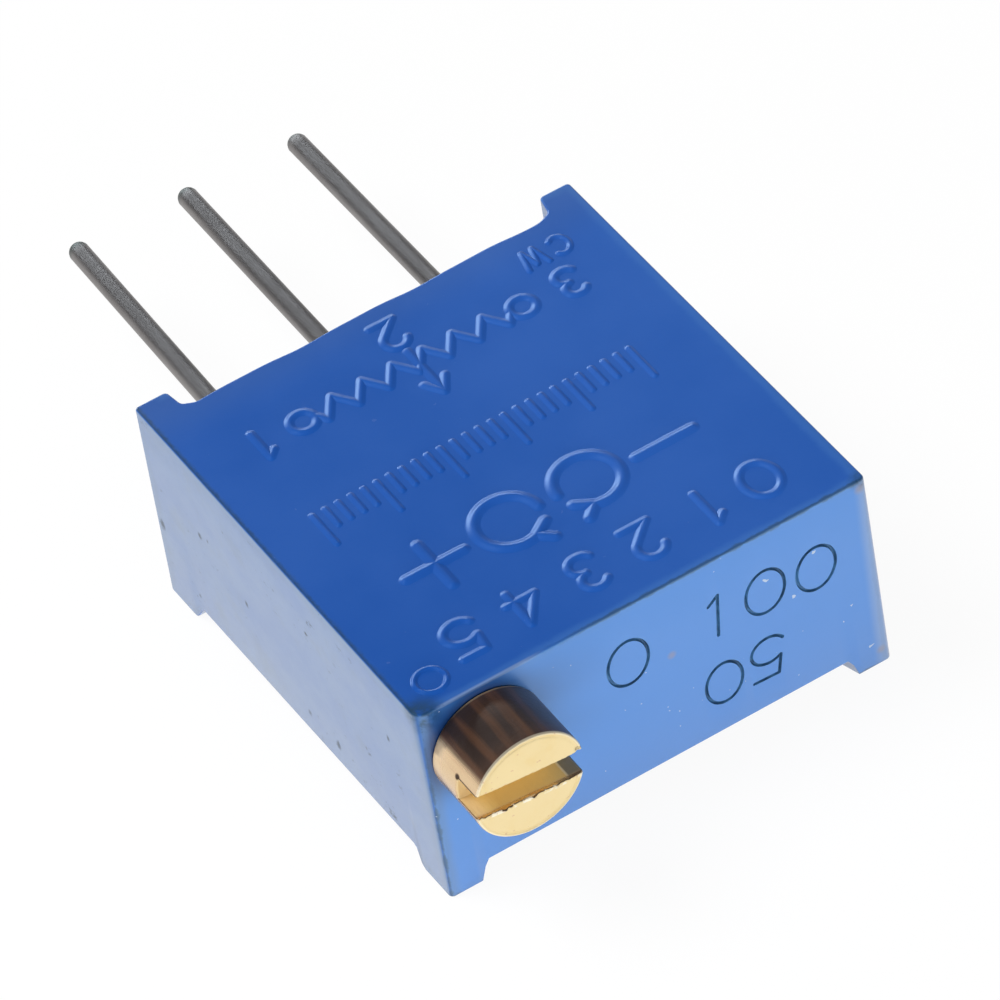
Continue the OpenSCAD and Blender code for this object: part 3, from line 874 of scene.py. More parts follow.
@dataclass(frozen=True)
class TurnedBrass(Finish):
    """Bright turned brass: grained end face, streaked flanks, a painted dark reflection and
    painted highlights.
    """

    name: str = "turned_brass"
    roughness: float = 0.22
    metallic: float = 1.0
    colour: Colour = (0.95, 0.775, 0.43)
    slot_colour: Colour = (0.92, 0.70, 0.30)
    flank_colour: Colour = (0.76, 0.56, 0.34)
    red_colour: Colour = (0.66, 0.43, 0.27)
    dark_reflection_colour: Colour = (0.045, 0.028, 0.022)
    reflection_streak_colour: Colour = (0.145, 0.068, 0.036)
    cool_reflection_colour: Colour = (0.075, 0.085, 0.11)
    fleck_colour: Colour = (0.72, 0.42, 0.27)
    painted_glint_colour: Colour = (1.0, 0.92, 0.72)
    nick_colour: Colour = (0.06, 0.035, 0.02)
    reflection_grey_colour: Colour = (0.21, 0.22, 0.21)
    dark_reflection_shine: float = 0.4

    def material(
        self, shared: GroupLibrary, layout: Layout, jaw: tuple[float, float, float],
        slot_turn: float, slot_half: float
    ) -> Material:
        """Builds the material.

        Args:
            shared: The shared effects.
            layout: Gives the screw's axis and the head's place.
            jaw: Left end of the slot's upper edge, at the slot's floor.
            slot_turn: The slot's angle to the row of pins, in degrees.
            slot_half: Half the slot's width.
        Returns:
            The material.
        """
        material, sheet, shader = self.start()
        place = sheet.place()
        axes = sheet.parts(place)
        facing = sheet.parts(sheet.add("NewGeometry").outputs["Normal"])
        end_face = sheet.remap(sheet.math("ABSOLUTE", facing[1]), 0.55, 0.9)
        behind = sheet.less(axes[1], layout.head_front_y)
        radius = sheet.beside_axis(place, layout.axis_x, layout.axis_z)

        # The angle round the axis, from straight up towards the left.
        right_x = sheet.less(axes[0], layout.axis_x)
        up_z = sheet.less(axes[2], layout.axis_z)
        angle = sheet.math("ARCTAN2", sheet.times(right_x, -1.0), up_z)
        turn = np.radians(slot_turn)
        along_slot = sheet.dot(place, (np.cos(turn), 0, -np.sin(turn)))
        along_slot = sheet.less(
            along_slot, layout.axis_x * np.cos(turn) - layout.axis_z * np.sin(turn))
        over_slot = sheet.dot(place, (np.sin(turn), 0, np.cos(turn)))
        over_slot = sheet.less(
            over_slot, layout.axis_x * np.sin(turn) + layout.axis_z * np.cos(turn))

        # The flank is pale low down on both sides, with faint streaks along it.
        stain, streak = sheet.group(shared.tarnish, Scale=1.8, Lines=(3.4, 0.25, 3.4))
        red = sheet.remap(streak, 0.45, 0.65, 0.0, 0.7)
        flank = sheet.blend(red, self.flank_colour, self.red_colour)
        # A painted reflection of the dark room: the upper side is painted nearly black, up to a
        # sharp border, with brown streaks every 20 degrees, and cooler to the right.
        bands = sheet.math("COSINE", sheet.scaled(angle, 18.0, -3.14))
        bands = sheet.scaled(sheet.less(streak, 0.5), 8.0, bands)
        dark = sheet.blend(
            sheet.remap(bands, -0.6, 1.6, 0.0, 0.8), self.dark_reflection_colour, self.reflection_streak_colour)
        dark = sheet.blend(sheet.remap(angle, -0.2, -0.8, 0.0, 0.9), dark, self.cool_reflection_colour)
        dark = sheet.blend(sheet.remap(behind, 0.0, 0.5, 0.3, 0.0), dark, self.reflection_streak_colour)
        border = sheet.scaled(sheet.less(streak, 0.5), 0.25, angle)
        dark_reflection = sheet.times(
            sheet.remap(border, 0.88, 1.04, 1.0, 0.0), sheet.remap(border, -1.7, -1.4))
        # A painted highlight: a thin bright rim where the flank meets the body, kept out of the
        # painted dark reflection.
        rim = sheet.times(
            sheet.remap(behind, layout.front_y - layout.head_front_y - 0.09, 1.46, 0, 0.75),
            sheet.remap(angle, 0.75, 0.1))
        dark_reflection = sheet.times(dark_reflection, sheet.rest(rim))
        flank = sheet.blend(dark_reflection, flank, dark)

        # The inside of the slot is a deeper gold than the end face.
        in_slot = sheet.times(
            sheet.remap(behind, 0.04, 0.14),
            sheet.remap(radius, layout.head_r - 0.01, layout.head_r - 0.03))
        colour = sheet.blend(end_face, flank, self.colour)
        on_flank = sheet.rest(sheet.most(end_face, in_slot))
        dark_reflection = sheet.times(dark_reflection, on_flank)
        deeper = sheet.times(sheet.remap(stain, 0.5, 0.75, 0.0, 0.4), end_face)
        colour = sheet.blend(deeper, colour, self.slot_colour)
        inside = sheet.blend(
            sheet.remap(along_slot, -0.98, -0.72, 0.55, 0.0), self.slot_colour,
            self.flank_colour)
        # Painted reflection: the slot's right end is grey, with a painted glint where it begins.
        inside = sheet.blend(
            sheet.remap(along_slot, 0.8, 0.86, 0.0, 0.85), inside, self.reflection_grey_colour)
        seam = sheet.math("ABSOLUTE", sheet.less(along_slot, 0.82))
        inside = sheet.blend(sheet.remap(seam, 0.012, 0.03, 0.6, 0.0), inside, self.painted_glint_colour)
        colour = sheet.blend(in_slot, colour, inside)

        # Painted highlights: a bright lip round the face, and bright glints on the burrs along
        # the lower jaw.
        lip = sheet.times(
            sheet.remap(radius, layout.head_r - 0.05, layout.head_r - 0.035),
            sheet.remap(behind, 0.07, 0.045, 0.0, 0.5))
        burr = sheet.times(
            sheet.remap(
                sheet.math("ABSOLUTE", sheet.plus(over_slot, slot_half + 0.035)), 0.03, 0.06,
                1.0, 0.0),
            sheet.remap(sheet.noise(place, 5.5, 3, 0.6), 0.49, 0.54))
        burr = sheet.times(burr, sheet.remap(behind, 0.06, 0.0))
        bright = sheet.most(lip, burr)
        colour = sheet.blend(bright, colour, self.painted_glint_colour)

        # Small reddish flecks on the end face.
        flecks = sheet.group(shared.dust, Scale=7.0, Size=0.4, Share=0.3)[0]
        colour = sheet.blend(sheet.times(flecks, end_face, 0.45), colour, self.fleck_colour)

        # A dark nick at the slot's inner corner, and from it to the face a thin line of painted
        # shade along the slot's upper edge.
        nick = sheet.remap(sheet.distance(place, jaw), 0.045, 0.1, 1.0, 0.0)
        edge_shade_line = sheet.times(
            sheet.remap(sheet.beside_axis(place, jaw[0], jaw[2]), 0.012, 0.04, 0.9, 0.0),
            sheet.remap(axes[1], jaw[1] + 0.05, jaw[1]))
        colour = sheet.blend(sheet.most(nick, edge_shade_line), colour, self.nick_colour)
        sheet.feed(shader.inputs["Base Color"], colour)

        # Mill marks, the burrs and lip with their painted highlights, and the painted dark
        # reflection on the upper flank scatter some of the light.
        scattering = sheet.most(
            sheet.times(sheet.most(in_slot, bright), 0.65),
            sheet.times(dark_reflection, 1.0 - self.dark_reflection_shine))
        by_body = sheet.remap(behind, 1.0, 1.4, 0.0, 0.7)
        scattering = sheet.most(scattering, sheet.times(by_body, on_flank))
        sheet.feed(shader.inputs["Metallic"], sheet.rest(scattering))

        # Fine turning marks on the end face, and grit everywhere.
        grit = sheet.noise(place, 11.0, 5, 0.7)
        fine = sheet.noise(sheet.stretch(place, (10, 1, 30)), 1.0, 4, 0.7)
        height = sheet.scaled(fine, 0.6, grit)
        dull = sheet.most(dark_reflection, end_face, in_slot)
        height = sheet.times(height, sheet.scaled(dull, 0.65, 0.35))
        sheet.feed(
            shader.inputs["Roughness"], sheet.scaled(dull, 0.2, sheet.scaled(stain, 0.12, 0.14))
        )
        self.emboss(sheet, shader, height, 9e-6)
        return material


@dataclass(frozen=True)
class DullTin(Finish):
    """Dull tinned wire: smooth grey with a few bright specks near the body."""

    name: str = "tinned_wire"
    roughness: float = 0.50
    metallic: float = 1.0
    colour: Colour = (0.33, 0.315, 0.31)
    dark_colour: Colour = (0.27, 0.255, 0.25)
    brown_colour: Colour = (0.26, 0.225, 0.20)
    tip_colour: Colour = (0.085, 0.105, 0.10)
    speck_colour: Colour = (0.85, 0.85, 0.85)

    def material(self, shared: GroupLibrary, layout: Layout) -> Material:
        """Builds the material.

        Args:
            shared: The shared effects.
            layout: Gives the ends of the pins.
        Returns:
            The material.
        """
        material, sheet, shader = self.start()
        place = sheet.place()
        axes = sheet.parts(place)
        stain, streak = sheet.group(shared.tarnish, Scale=1.3, Lines=(5.0, 0.6, 5.0))
        colour = sheet.blend(sheet.remap(streak, 0.3, 0.7), self.colour, self.dark_colour)
        near_body = sheet.remap(axes[1], layout.rear_y, 1.9, 0.9, 0.0)
        colour = sheet.blend(
            sheet.times(near_body, sheet.remap(stain, 0.35, 0.6, 0.4, 1.0)), colour,
            self.brown_colour)
        near_tip = sheet.remap(
            axes[1], layout.pin_tip_y - 0.3, layout.pin_tip_y - 0.05, 0.0, 0.9)
        colour = sheet.blend(near_tip, colour, self.tip_colour)
        specks = sheet.group(shared.dust, Scale=6.0, Size=0.30, Share=0.34)[0]
        bright = sheet.times(
            sheet.remap(axes[1], 0.2, 1.8, 0.9, 0.03),
            sheet.remap(axes[0], -1.5, 0.0, 1.0, 0.25))
        colour = sheet.blend(sheet.times(specks, bright), colour, self.speck_colour)
        sheet.feed(shader.inputs["Base Color"], colour)
        sheet.feed(shader.inputs["Roughness"], sheet.scaled(stain, 0.2, self.roughness - 0.1))
        self.emboss(sheet, shader, stain, 8e-6)
        return material


class Tone(Enum):
    """Kinds of surface that the hidden pieces have."""

    RUBBER = "rubber"
    METAL = "metal"
    PLASTIC = "plastic"
    FIRED = "fired"
    RESIN = "resin"


@dataclass(frozen=True)
class PlainFinish(Finish):
    """A finish for a hidden piece: two tones, grain at its own scale and a bump."""

    tone: Tone = Tone.PLASTIC
    colour: Colour = (0.5, 0.5, 0.5)
    second: Colour = (0.4, 0.4, 0.4)
    scale: float = 2.0
    depth: float = 2e-6

    def material(self, shared: GroupLibrary) -> Material:
        """Builds the material from the shared effects."""
        material, sheet, shader = self.start()
        height, cloud = sheet.group(shared.grain, Coarse=self.scale, Fine=self.scale * 8)
        share = sheet.remap(cloud, 0.35, 0.65)
        colour = sheet.blend(share, self.colour, self.second)
        if self.tone is Tone.METAL:
            height = sheet.group(shared.tarnish, Scale=self.scale, Lines=(1.5, 18.0, 6.0))[1]
            streak = sheet.remap(height, 0.45, 0.7, 0.0, 0.4)
            colour = sheet.blend(streak, colour, self.second)
        if self.tone is Tone.FIRED:
            specks = sheet.group(shared.dust, Scale=7.0, Size=0.2, Share=0.25)[0]
            colour = sheet.blend(sheet.times(specks, 0.35), colour, self.second)
        sheet.feed(shader.inputs["Base Color"], colour)
        sheet.feed(shader.inputs["Roughness"], sheet.scaled(cloud, 0.2, self.roughness - 0.1))
        self.emboss(sheet, shader, height, self.depth)
        return material


def plain_finish(
    name: str, tone: Tone, roughness: float, colour: Colour, second: Colour, scale: float,
    depth: float = 2e-6
) -> PlainFinish:
    """Makes a plain finish, which is metallic where its tone is METAL."""
    return PlainFinish(
        name=name, tone=tone, roughness=roughness, metallic=float(tone is Tone.METAL),
        colour=colour, second=second, scale=scale, depth=depth)


# ------------------------------------------------------------------ marks


@dataclass(frozen=True)
class Stroke:
    """One stroke of a mark: a piece of an ellipse, or a straight line.

    A line runs from start to end. An ellipse piece runs round its centre (start) with
    the two radii in end, between two angles in degrees; 360 degrees closes it.
    """

    start: tuple[float, float]
    end: tuple[float, float]
    angles: tuple[float, float] | None = None

    @property
    def closed(self) -> bool:
        """Whether the stroke runs into itself."""
        return self.angles is not None and self.angles[1] - self.angles[0] >= 360

    def spine(self, scale: float) -> tuple[Array, Array]:
        """The middle line and its left-hand normal, in millimetres.

        Args:
            scale: Height of the mark.
        Returns:
            Points and unit normals, as two arrays of n x 2.
        """
        if self.angles is None:
            line = np.array([self.start, self.end]) * scale
            along = line[1] - line[0]
            steps = max(int(np.linalg.norm(along) / 0.12), 1)
            share = np.linspace(0, 1, steps + 1)[:, None]
            normal = np.array([-along[1], along[0]]) / np.linalg.norm(along)
            return line[0] + share * along, normal + 0 * share * along
        first, last = np.radians(self.angles)
        steps = max(int(abs(last - first) / 0.16), 4)
        turn = np.linspace(first, last, steps + 1)
        if self.closed:
            turn = turn[:-1]
        radii = np.array(self.end) * scale
        points = np.array(self.start) * scale + np.column_stack(
            [radii[0] * np.cos(turn), radii[1] * np.sin(turn)])
        normal = -np.column_stack([radii[1] * np.cos(turn), radii[0] * np.sin(turn)])
        return points, normal / np.linalg.norm(normal, axis=1, keepdims=True)

    def loop(self, scale: float) -> tuple[Array, Array]:
        """Goes once round an open stroke: along its left side, round its end, back
        along its right side and round its start.

        Returns:
            The spine's point under each point of the loop, and the direction from it.
        """
        points, normal = self.spine(scale)
        swing = np.linspace(0, np.pi, 7)[1:-1, None]

        def round_end(at: Array, first: Array) -> tuple[Array, Array]:
            """Half a turn about an end of the spine, from a first direction."""
            across = np.array([first[1], -first[0]])
            return at + 0 * swing, np.cos(swing) * first + np.sin(swing) * across

        tip, tip_way = round_end(points[-1], normal[-1])
        tail, tail_way = round_end(points[0], -normal[0])
        return (
            np.concatenate([points, tip, points[::-1], tail]),
            np.concatenate([normal, tip_way, -normal[::-1], tail_way]))


def line(x0: float, y0: float, x1: float, y1: float) -> Stroke:
    """A straight stroke between two points."""
    return Stroke((x0, y0), (x1, y1))


def arc(x: float, y: float, rx: float, ry: float, first: float, last: float) -> Stroke:
    """A piece of an ellipse about (x, y), between two angles in degrees."""
    return Stroke((x, y), (rx, ry), (first, last))


class Mark(Enum):
    """Plain dial marks, each a set of strokes in a box one unit tall."""

    ZERO = (arc(0.4, 0.5, 0.4, 0.5, 0, 360),)
    ONE = (line(0.28, 0, 0.28, 1), line(0.28, 1, 0.08, 0.8))
    TWO = (
        arc(0.31, 0.7, 0.3, 0.3, -38, 165), line(0.546, 0.515, 0.0, 0.0),
        line(0.0, 0.0, 0.64, 0.0))
    THREE = (arc(0.27, 0.75, 0.27, 0.25, -80, 150), arc(0.27, 0.26, 0.3, 0.26, -150, 80))
    FOUR = (line(0.5, 0.0, 0.5, 1.0), line(0.5, 1.0, 0.0, 0.3), line(0.0, 0.3, 0.68, 0.3))
    FIVE = (
        line(0.14, 1.0, 0.68, 1.0), line(0.14, 1.0, 0.08, 0.56),
        arc(0.34, 0.32, 0.37, 0.32, -150, 132))
    RING = (arc(0.5, 0.5, 0.5, 0.5, 0, 360),)
    C = (arc(0.38, 0.5, 0.38, 0.5, 48, 312),)
    W = (
        line(0, 1, 0.22, 0), line(0.22, 0, 0.45, 0.85), line(0.45, 0.85, 0.68, 0),
        line(0.68, 0, 0.9, 1))
    MINUS = (line(0.1, 0.5, 0.9, 0.5),)
    PLUS = (line(0.1, 0.5, 0.9, 0.5), line(0.5, 0.1, 0.5, 0.9))
    TURN_LEFT = (
        arc(0.45, 0.45, 0.42, 0.42, 70, 360), line(0.594, 0.845, 0.8, 0.7),
        line(0.594, 0.845, 0.76, 1.0))
    TURN_RIGHT = (
        arc(0.45, 0.45, 0.42, 0.42, -180, 110), line(0.306, 0.845, 0.1, 0.7),
        line(0.306, 0.845, 0.14, 1.0))


@dataclass(frozen=True)
class Face:
    """A flat face of the body with its own right, up and outward directions."""

    origin: tuple[float, float, float]
    right: tuple[float, float, float]
    up: tuple[float, float, float]
    out: tuple[float, float, float]

    def place(self, flat: Array, height: Array | float) -> Array:
        """Puts flat points at a height over the face into space.

        Args:
            flat: Array of ... x 2, along right and up.
            height: Height over the face, a number or an array that spreads to that shape.
        Returns:
            Array of ... x 3: origin + right x + up y + out height.
        """
        height = np.broadcast_to(height, flat.shape[:-1])[..., None]
        return (
            np.array(self.origin) + flat[..., :1] * np.array(self.right)
            + flat[..., 1:] * np.array(self.up) + height * np.array(self.out))


@dataclass(frozen=True)
class Placed:
    """A stroke of a mark at its place on a face."""

    stroke: Stroke
    x: float
    y: float
    scale: float
    half_width: float
    turn: float = 0.0

    def flat(self, points: Array) -> Array:
        """Turns and moves points from the mark's box to the face."""
        c, s = np.cos(np.radians(self.turn)), np.sin(np.radians(self.turn))
        return points @ np.array([[c, s], [-s, c]]) + np.array([self.x, self.y])

    def ridge(self, surface: Surface, face: Face, height: float, sunk: float) -> None:
        """Adds a soft ridge, closed underneath.

        Over the spine the ridge is height tall. At a distance d from it, it stands
        height (1 + cos(pi d / w)) / 2 tall, with w its half width, less sunk.

        Args:
            surface: Where it goes.
            face: The face that it stands on.
            height: How tall it is.
            sunk: How deep its foot is sunk in the face.
        """
        if self.stroke.closed:
            points, normal = self.stroke.spine(self.scale)
            across = np.linspace(-1, 1, 13)[:, None, None]
            tall = height * (1 + np.cos(np.pi * across[..., 0])) / 2 - sunk
            flat = points + normal * across * self.half_width
            flat = np.concatenate([flat, points[None]])
            tall = np.concatenate([tall, [[-2 * sunk]]])
            surface.add_grid(
                face.place(self.flat(flat), tall), close_rows=True, close_columns=True)
            return
        points, normal = self.stroke.loop(self.scale)
        out = np.linspace(0, 1, 8)[:, None, None]
        tall = height * (1 + np.cos(np.pi * out[..., 0])) / 2 - sunk
        flat = points + normal * out * self.half_width
        number = surface.add_grid(face.place(self.flat(flat), tall), close_columns=True)
        surface.add_cap(number[-1])

    def groove(self, face: Face, depth: float) -> Surface:
        """A tool that cuts a groove with slanted walls, closed at both ends.

        Args:
            face: The face to cut.
            depth: How deep the groove is.
        Returns:
            The tool's surface.
        """
        tool = Surface()
        wide, narrow = self.half_width * 1.4, self.half_width * 0.45
        heights = np.array([depth, 0.0, -depth])[:, None]
        widths = np.array([wide, self.half_width, narrow])[:, None, None]
        if self.stroke.closed:
            points, normal = self.stroke.spine(self.scale)
            across = np.concatenate([widths, -widths[::-1]])
            tall = np.concatenate([heights, heights[::-1]])
            tool.add_grid(
                face.place(self.flat(points + normal * across), tall), close_rows=True,
                close_columns=True)
            return tool
        points, normal = self.stroke.loop(self.scale)
        tool.add_tube(face.place(self.flat(points + normal * widths), heights))
        return tool


def set_mark(
    mark: Mark, x: float, y: float, height: float, half_width: float, turn: float = 0
) -> list[Placed]:
    """Places all strokes of a mark with its lower left corner at (x, y)."""
    return [Placed(s, x, y, height, half_width, turn) for s in mark.value]


# ----------------------------------------------------------- sub-assemblies


@dataclass
class Housing:
    """The moulded body with its feet, standoffs, hollows, post and stop."""

    layout: Layout
    shared: GroupLibrary
    foot_w: float = 0.7
    back_foot_l: float = 0.95
    foot_flank_runs: tuple[float, float] = (0.05, 0.14)
    foot_end_runs: tuple[float, float] = (0.42, 0.16)
    front_corner_r: float = 0.10
    front_corner_top_rs: tuple[float, float] = (0.25, 0.12)
    rear_corner_r: float = 0.09
    left_outsets: tuple[float, float, float, float] = (0.06, 0.075, 0.045, 0.0)
    right_outsets: tuple[float, float, float, float] = (0.0, 0.06, 0.05, 0.13)
    rear_wave: float = 0.022
    wave_shift: float = 0.2
    rear_inset: float = 0.055
    label_bevel: float = 0.05
    rim_bevel: float = 0.04
    foot_bevel: float = 0.045
    wheel_room_r: float = 3.528
    bore_r: float = 0.95
    pivot_bore_r: float = 0.42
    pivot_room: float = 0.15
    pivot_l: float = 1.1
    clip_y: float = -8.28
    clip_top_z: float = 1.94
    clip_half_w: float = 0.8
    clip_half_l: float = 0.12
    pin_way_half_w: float = 0.21
    joint_room_half_w: float = 0.435
    post_r: float = 0.48
    post_foot_z: float = 0.355
    stop_half_angle: float = 22.9
    stop_rs: tuple[float, float] = (2.15, 2.65)
    stop_zs: tuple[float, float] = (1.76, 2.1)
    mark_depth: float = 0.05
    mark_half_width: float = 0.036

    def outline(self, left: float, right: float) -> Outline:
        """The body seen from the label side, with the two standoffs at the rear.

        Args:
            left: Radius of the left front corner.
            right: Radius of the right front corner.
        Returns:
            The outline.
        """
        lay, inner = self.layout, self.layout.side_x - self.foot_w
        corners = np.array(
            [
                [-lay.side_x, lay.front_y], [lay.side_x, lay.front_y], [lay.side_x, 0],
                [inner + 0.04, 0], [inner - 0.06, lay.rear_y], [-inner + 0.06, lay.rear_y],
                [-inner - 0.01, 0], [-lay.side_x, 0]])
        rear = self.rear_corner_r
        radii = np.array([left, right, rear, 0.1, 0.14, 0.14, 0.1, rear])
        return Outline.rounded(corners, radii, 0.1)

    def foot_share(self, points: Array) -> Array:
        """How much of a foot stands at each point of the outline, from 0 to 1.

        It is the product of a ramp along X and one along Y, both 1 over the foot.
        The front feet have steep flanks, and the rear ones slope at about 45 degrees.
        """
        lay = self.layout
        x, y = np.abs(points[:, 0]), points[:, 1]
        rear = y > lay.wheel_y
        flank_x = np.where(rear, *self.foot_flank_runs)
        rear_slope, front_slope = self.foot_end_runs
        across = np.clip(1 - (lay.side_x - self.foot_w - x) / flank_x, 0, 1)
        front_run = y - (lay.front_y + self.back_foot_l)
        rear_run = -self.back_foot_l - y
        along = np.where(
            rear, np.clip(1 - rear_run / rear_slope, 0, 1),
            np.clip(1 - front_run / front_slope, 0, 1))
        share = across * along
        return 0.4 * share + 0.6 * share * share * (3 - 2 * share)

    def shell(self) -> Surface:
        """The outside, the rim at the back and the open seat inside it.

        A profile is carried along the outline. From the label it goes round the
        label's edge, down the wall, round the lower edge, across the rim and up the
        seat's wall. The rim's height follows the feet, and the seat's wall is the
        outline held inside the seat's rectangle. The front corners grow rounder with
        the square of the height. The flanks lean a little: each is moved out by an
        amount that runs evenly between four values, at the rear by the label and by
        the back, and at the front by the label and by the back. The rear wall swells
        a little beside each pin.
        """
        lay, radius = self.layout, self.front_corner_r
        plan = self.outline(radius, radius)
        curl = self.outline(*self.front_corner_top_rs).points - plan.points
        share = self.foot_share(plan.points)
        bottom = lay.back_rim_z + (lay.back_z - lay.back_rim_z) * share
        bevel = self.rim_bevel + (self.foot_bevel - self.rim_bevel) * share
        pitch = lay.pin_xs[2] - lay.pin_xs[1]
        at_rear = smooth_step(0.97, 1.0, plan.outward[:, 1]) * smooth_step(
            lay.side_x - self.foot_w - 0.1, lay.side_x - self.foot_w - 0.35,
            np.abs(plan.points[:, 0]))
        wave = np.cos(2 * np.pi / pitch * (plan.points[:, 0] + self.wave_shift))
        swell = at_rear * (self.rear_wave * wave - self.rear_inset)
        swell += 0.3 * self.rear_wave * at_rear * np.sin(5.1 * plan.points[:, 0])
        rows: list[Array] = []

        def outer(inset: Array | float, z: Array | float) -> None:
            """Adds a row of the outside, inset from the outline, at a height."""
            z = np.broadcast_to(z, share.shape)
            up = (z - lay.back_z) / (lay.label_z - lay.back_z)
            base = plan.points + curl * (up**2)[:, None]
            ahead = np.clip(base[:, 1] / lay.front_y, 0, 1)
            sides = []
            for rear_top, rear_back, front_top, front_back in (
                self.left_outsets, self.right_outsets
            ):
                at_rear_end = up * rear_top + (1 - up) * rear_back
                at_front_end = up * front_top + (1 - up) * front_back
                sides.append((1 - ahead) * at_rear_end + ahead * at_front_end)
            lean = np.where(base[:, 0] < 0, *sides)
            base[:, 0] *= 1 + lean / lay.side_x
            base -= plan.outward * (inset - swell)[:, None]
            rows.append(np.column_stack([base, z]))

        for a in np.linspace(0, np.pi / 2, 6):
            outer(
                self.label_bevel * (1 - np.sin(a)),
                lay.label_z - self.label_bevel * (1 - np.cos(a)))
        for part in (0.3, 0.6):
            outer(0.0, lay.label_z + part * (bottom - lay.label_z))
        for a in np.linspace(0, np.pi / 2, 6):
            outer(bevel * (1 - np.cos(a)), bottom + bevel * (1 - np.sin(a)))

        def inner(spread: float, z: Array | float) -> None:
            """Adds a row of the seat's wall at a height."""
            low = [-lay.seat_x - spread, lay.seat_front_y - spread]
            high = [lay.seat_x + spread, lay.seat_rear_y + spread]
            held = np.clip(plan.points, low, high)
            rows.append(np.column_stack([held, np.broadcast_to(z, share.shape)]))

        inner(0.03, bottom)
        inner(0.0, bottom + 0.03)
        inner(0.0, lay.film_top_z)
        skin = Surface()
        number = skin.add_grid(np.stack(rows), close_columns=True)
        skin.add_cap(number[0])
        skin.add_cap(number[-1][::-1])
        return skin

    def hollows(self) -> list[Surface]:
        """The wheel's chamber, the screw's bore, the clip's slot and the pins' ways."""
        lay = self.layout
        chamber, bore = Surface(), Surface()
        levels = np.array([[lay.film_top_z - 0.03], [lay.chamber_top_z]])
        chamber.add_tube(self.about_wheel(self.wheel_room_r, full_turn(160), levels))
        front, end = lay.front_y, lay.screw_end_y - self.pivot_l
        pivot_end = lay.screw_end_y + self.pivot_room
        profile = np.array(
            [
                [0.0, front - 0.3], [self.bore_r + 0.35, front - 0.3],
                [self.bore_r + 0.05, front], [self.bore_r, front + 0.05], [self.bore_r, end],
                [self.pivot_bore_r, end], [self.pivot_bore_r, pivot_end], [0.0, pivot_end]])
        bore.add_lathe(profile, np.array([lay.axis_x, 0, lay.axis_z]))

        floor, half, thick = lay.film_top_z - 0.05, self.clip_half_w, self.clip_half_l
        clip = block(
            [lay.axis_x - half, self.clip_y - thick, floor],
            [lay.axis_x + half, self.clip_y + thick, self.clip_top_z + 0.02])
        tools = [chamber, bore, clip]
        narrow, wide = self.pin_way_half_w, self.joint_room_half_w
        for x in lay.pin_xs:
            tools += [
                block(
                    [x - narrow, lay.seat_rear_y - 0.1, lay.back_rim_z - 0.2],
                    [x + narrow, lay.rear_y + 0.2, lay.pin_r + 0.01]),
                block(
                    [x - wide, lay.seat_rear_y - 1.0, floor],
                    [x + wide, lay.seat_rear_y, lay.pin_r + 0.06])]
        return tools

    def about_wheel(self, radius: Array | float, turn: Array, z: Array) -> Array:
        """Points at a radius, an angle and a height about the wheel's axis."""
        lay = self.layout
        return xyz(lay.wheel_x + radius * np.cos(turn), lay.wheel_y + radius * np.sin(turn), z)

    def post_and_stop(self) -> list[Surface]:
        """The post that the wheel turns on, and the block that its lug meets."""
        post, stop = Surface(), Surface()
        radius = np.array([[self.post_r - 0.03], [self.post_r], [self.post_r]])
        foot = self.post_foot_z
        levels = np.array([[foot], [foot + 0.03], [self.layout.chamber_top_z + 0.04]])
        post.add_tube(self.about_wheel(radius, full_turn(64), levels))

        swing = np.radians(90 + np.linspace(-1, 1, 17) * self.stop_half_angle)
        (inner, outer), (low, high) = self.stop_rs, self.stop_zs
        radius = np.array([[inner], [outer], [outer], [inner]])
        levels = np.array([[low], [low], [high], [high]])
        stop.add_tube(self.about_wheel(radius, swing, levels), along_rows=True)
        return [post, stop]

    def front_marks(self) -> list[Surface]:
        """Pressed-in marks on the front: two plain numbers, and one upside down."""
        lay = self.layout
        face = Face((0, lay.front_y, 0), (1, 0, 0), (0, 0, 1), (0, -1, 0))
        w = self.mark_half_width
        rows = (
            (Mark.ZERO, -0.97, 0.82, 1.08, w, -5), (Mark.ONE, 1.12, 0.82, 1.0, w, -5),
            (Mark.ZERO, 2.0, 0.76, 1.05, w, -5), (Mark.ZERO, 3.1, 0.66, 1.05, w, -5),
            (Mark.FIVE, 2.72, 0.06, 1.0, w, 177), (Mark.ZERO, 1.8, 0.03, 0.98, w, 177))
        return [p.groove(face, self.mark_depth) for row in rows for p in set_mark(*row)]

    def build(self) -> Piece:
        """Makes the housing, carves it and dresses it."""
        blue = BluePlastic().material(self.shared, self.layout)
        dark = MarkShade().material(self.shared)
        piece = self.shell().build("housing_shell", blue, dark)
        for tool in self.hollows():
            carve(piece, tool)
        for tool in self.post_and_stop():
            carve(piece, tool, "UNION")
        for tool in self.front_marks():
            carve(piece, tool, slot_index=1)
        shade(piece)
        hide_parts("housing")
        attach(piece, "body")
        return piece


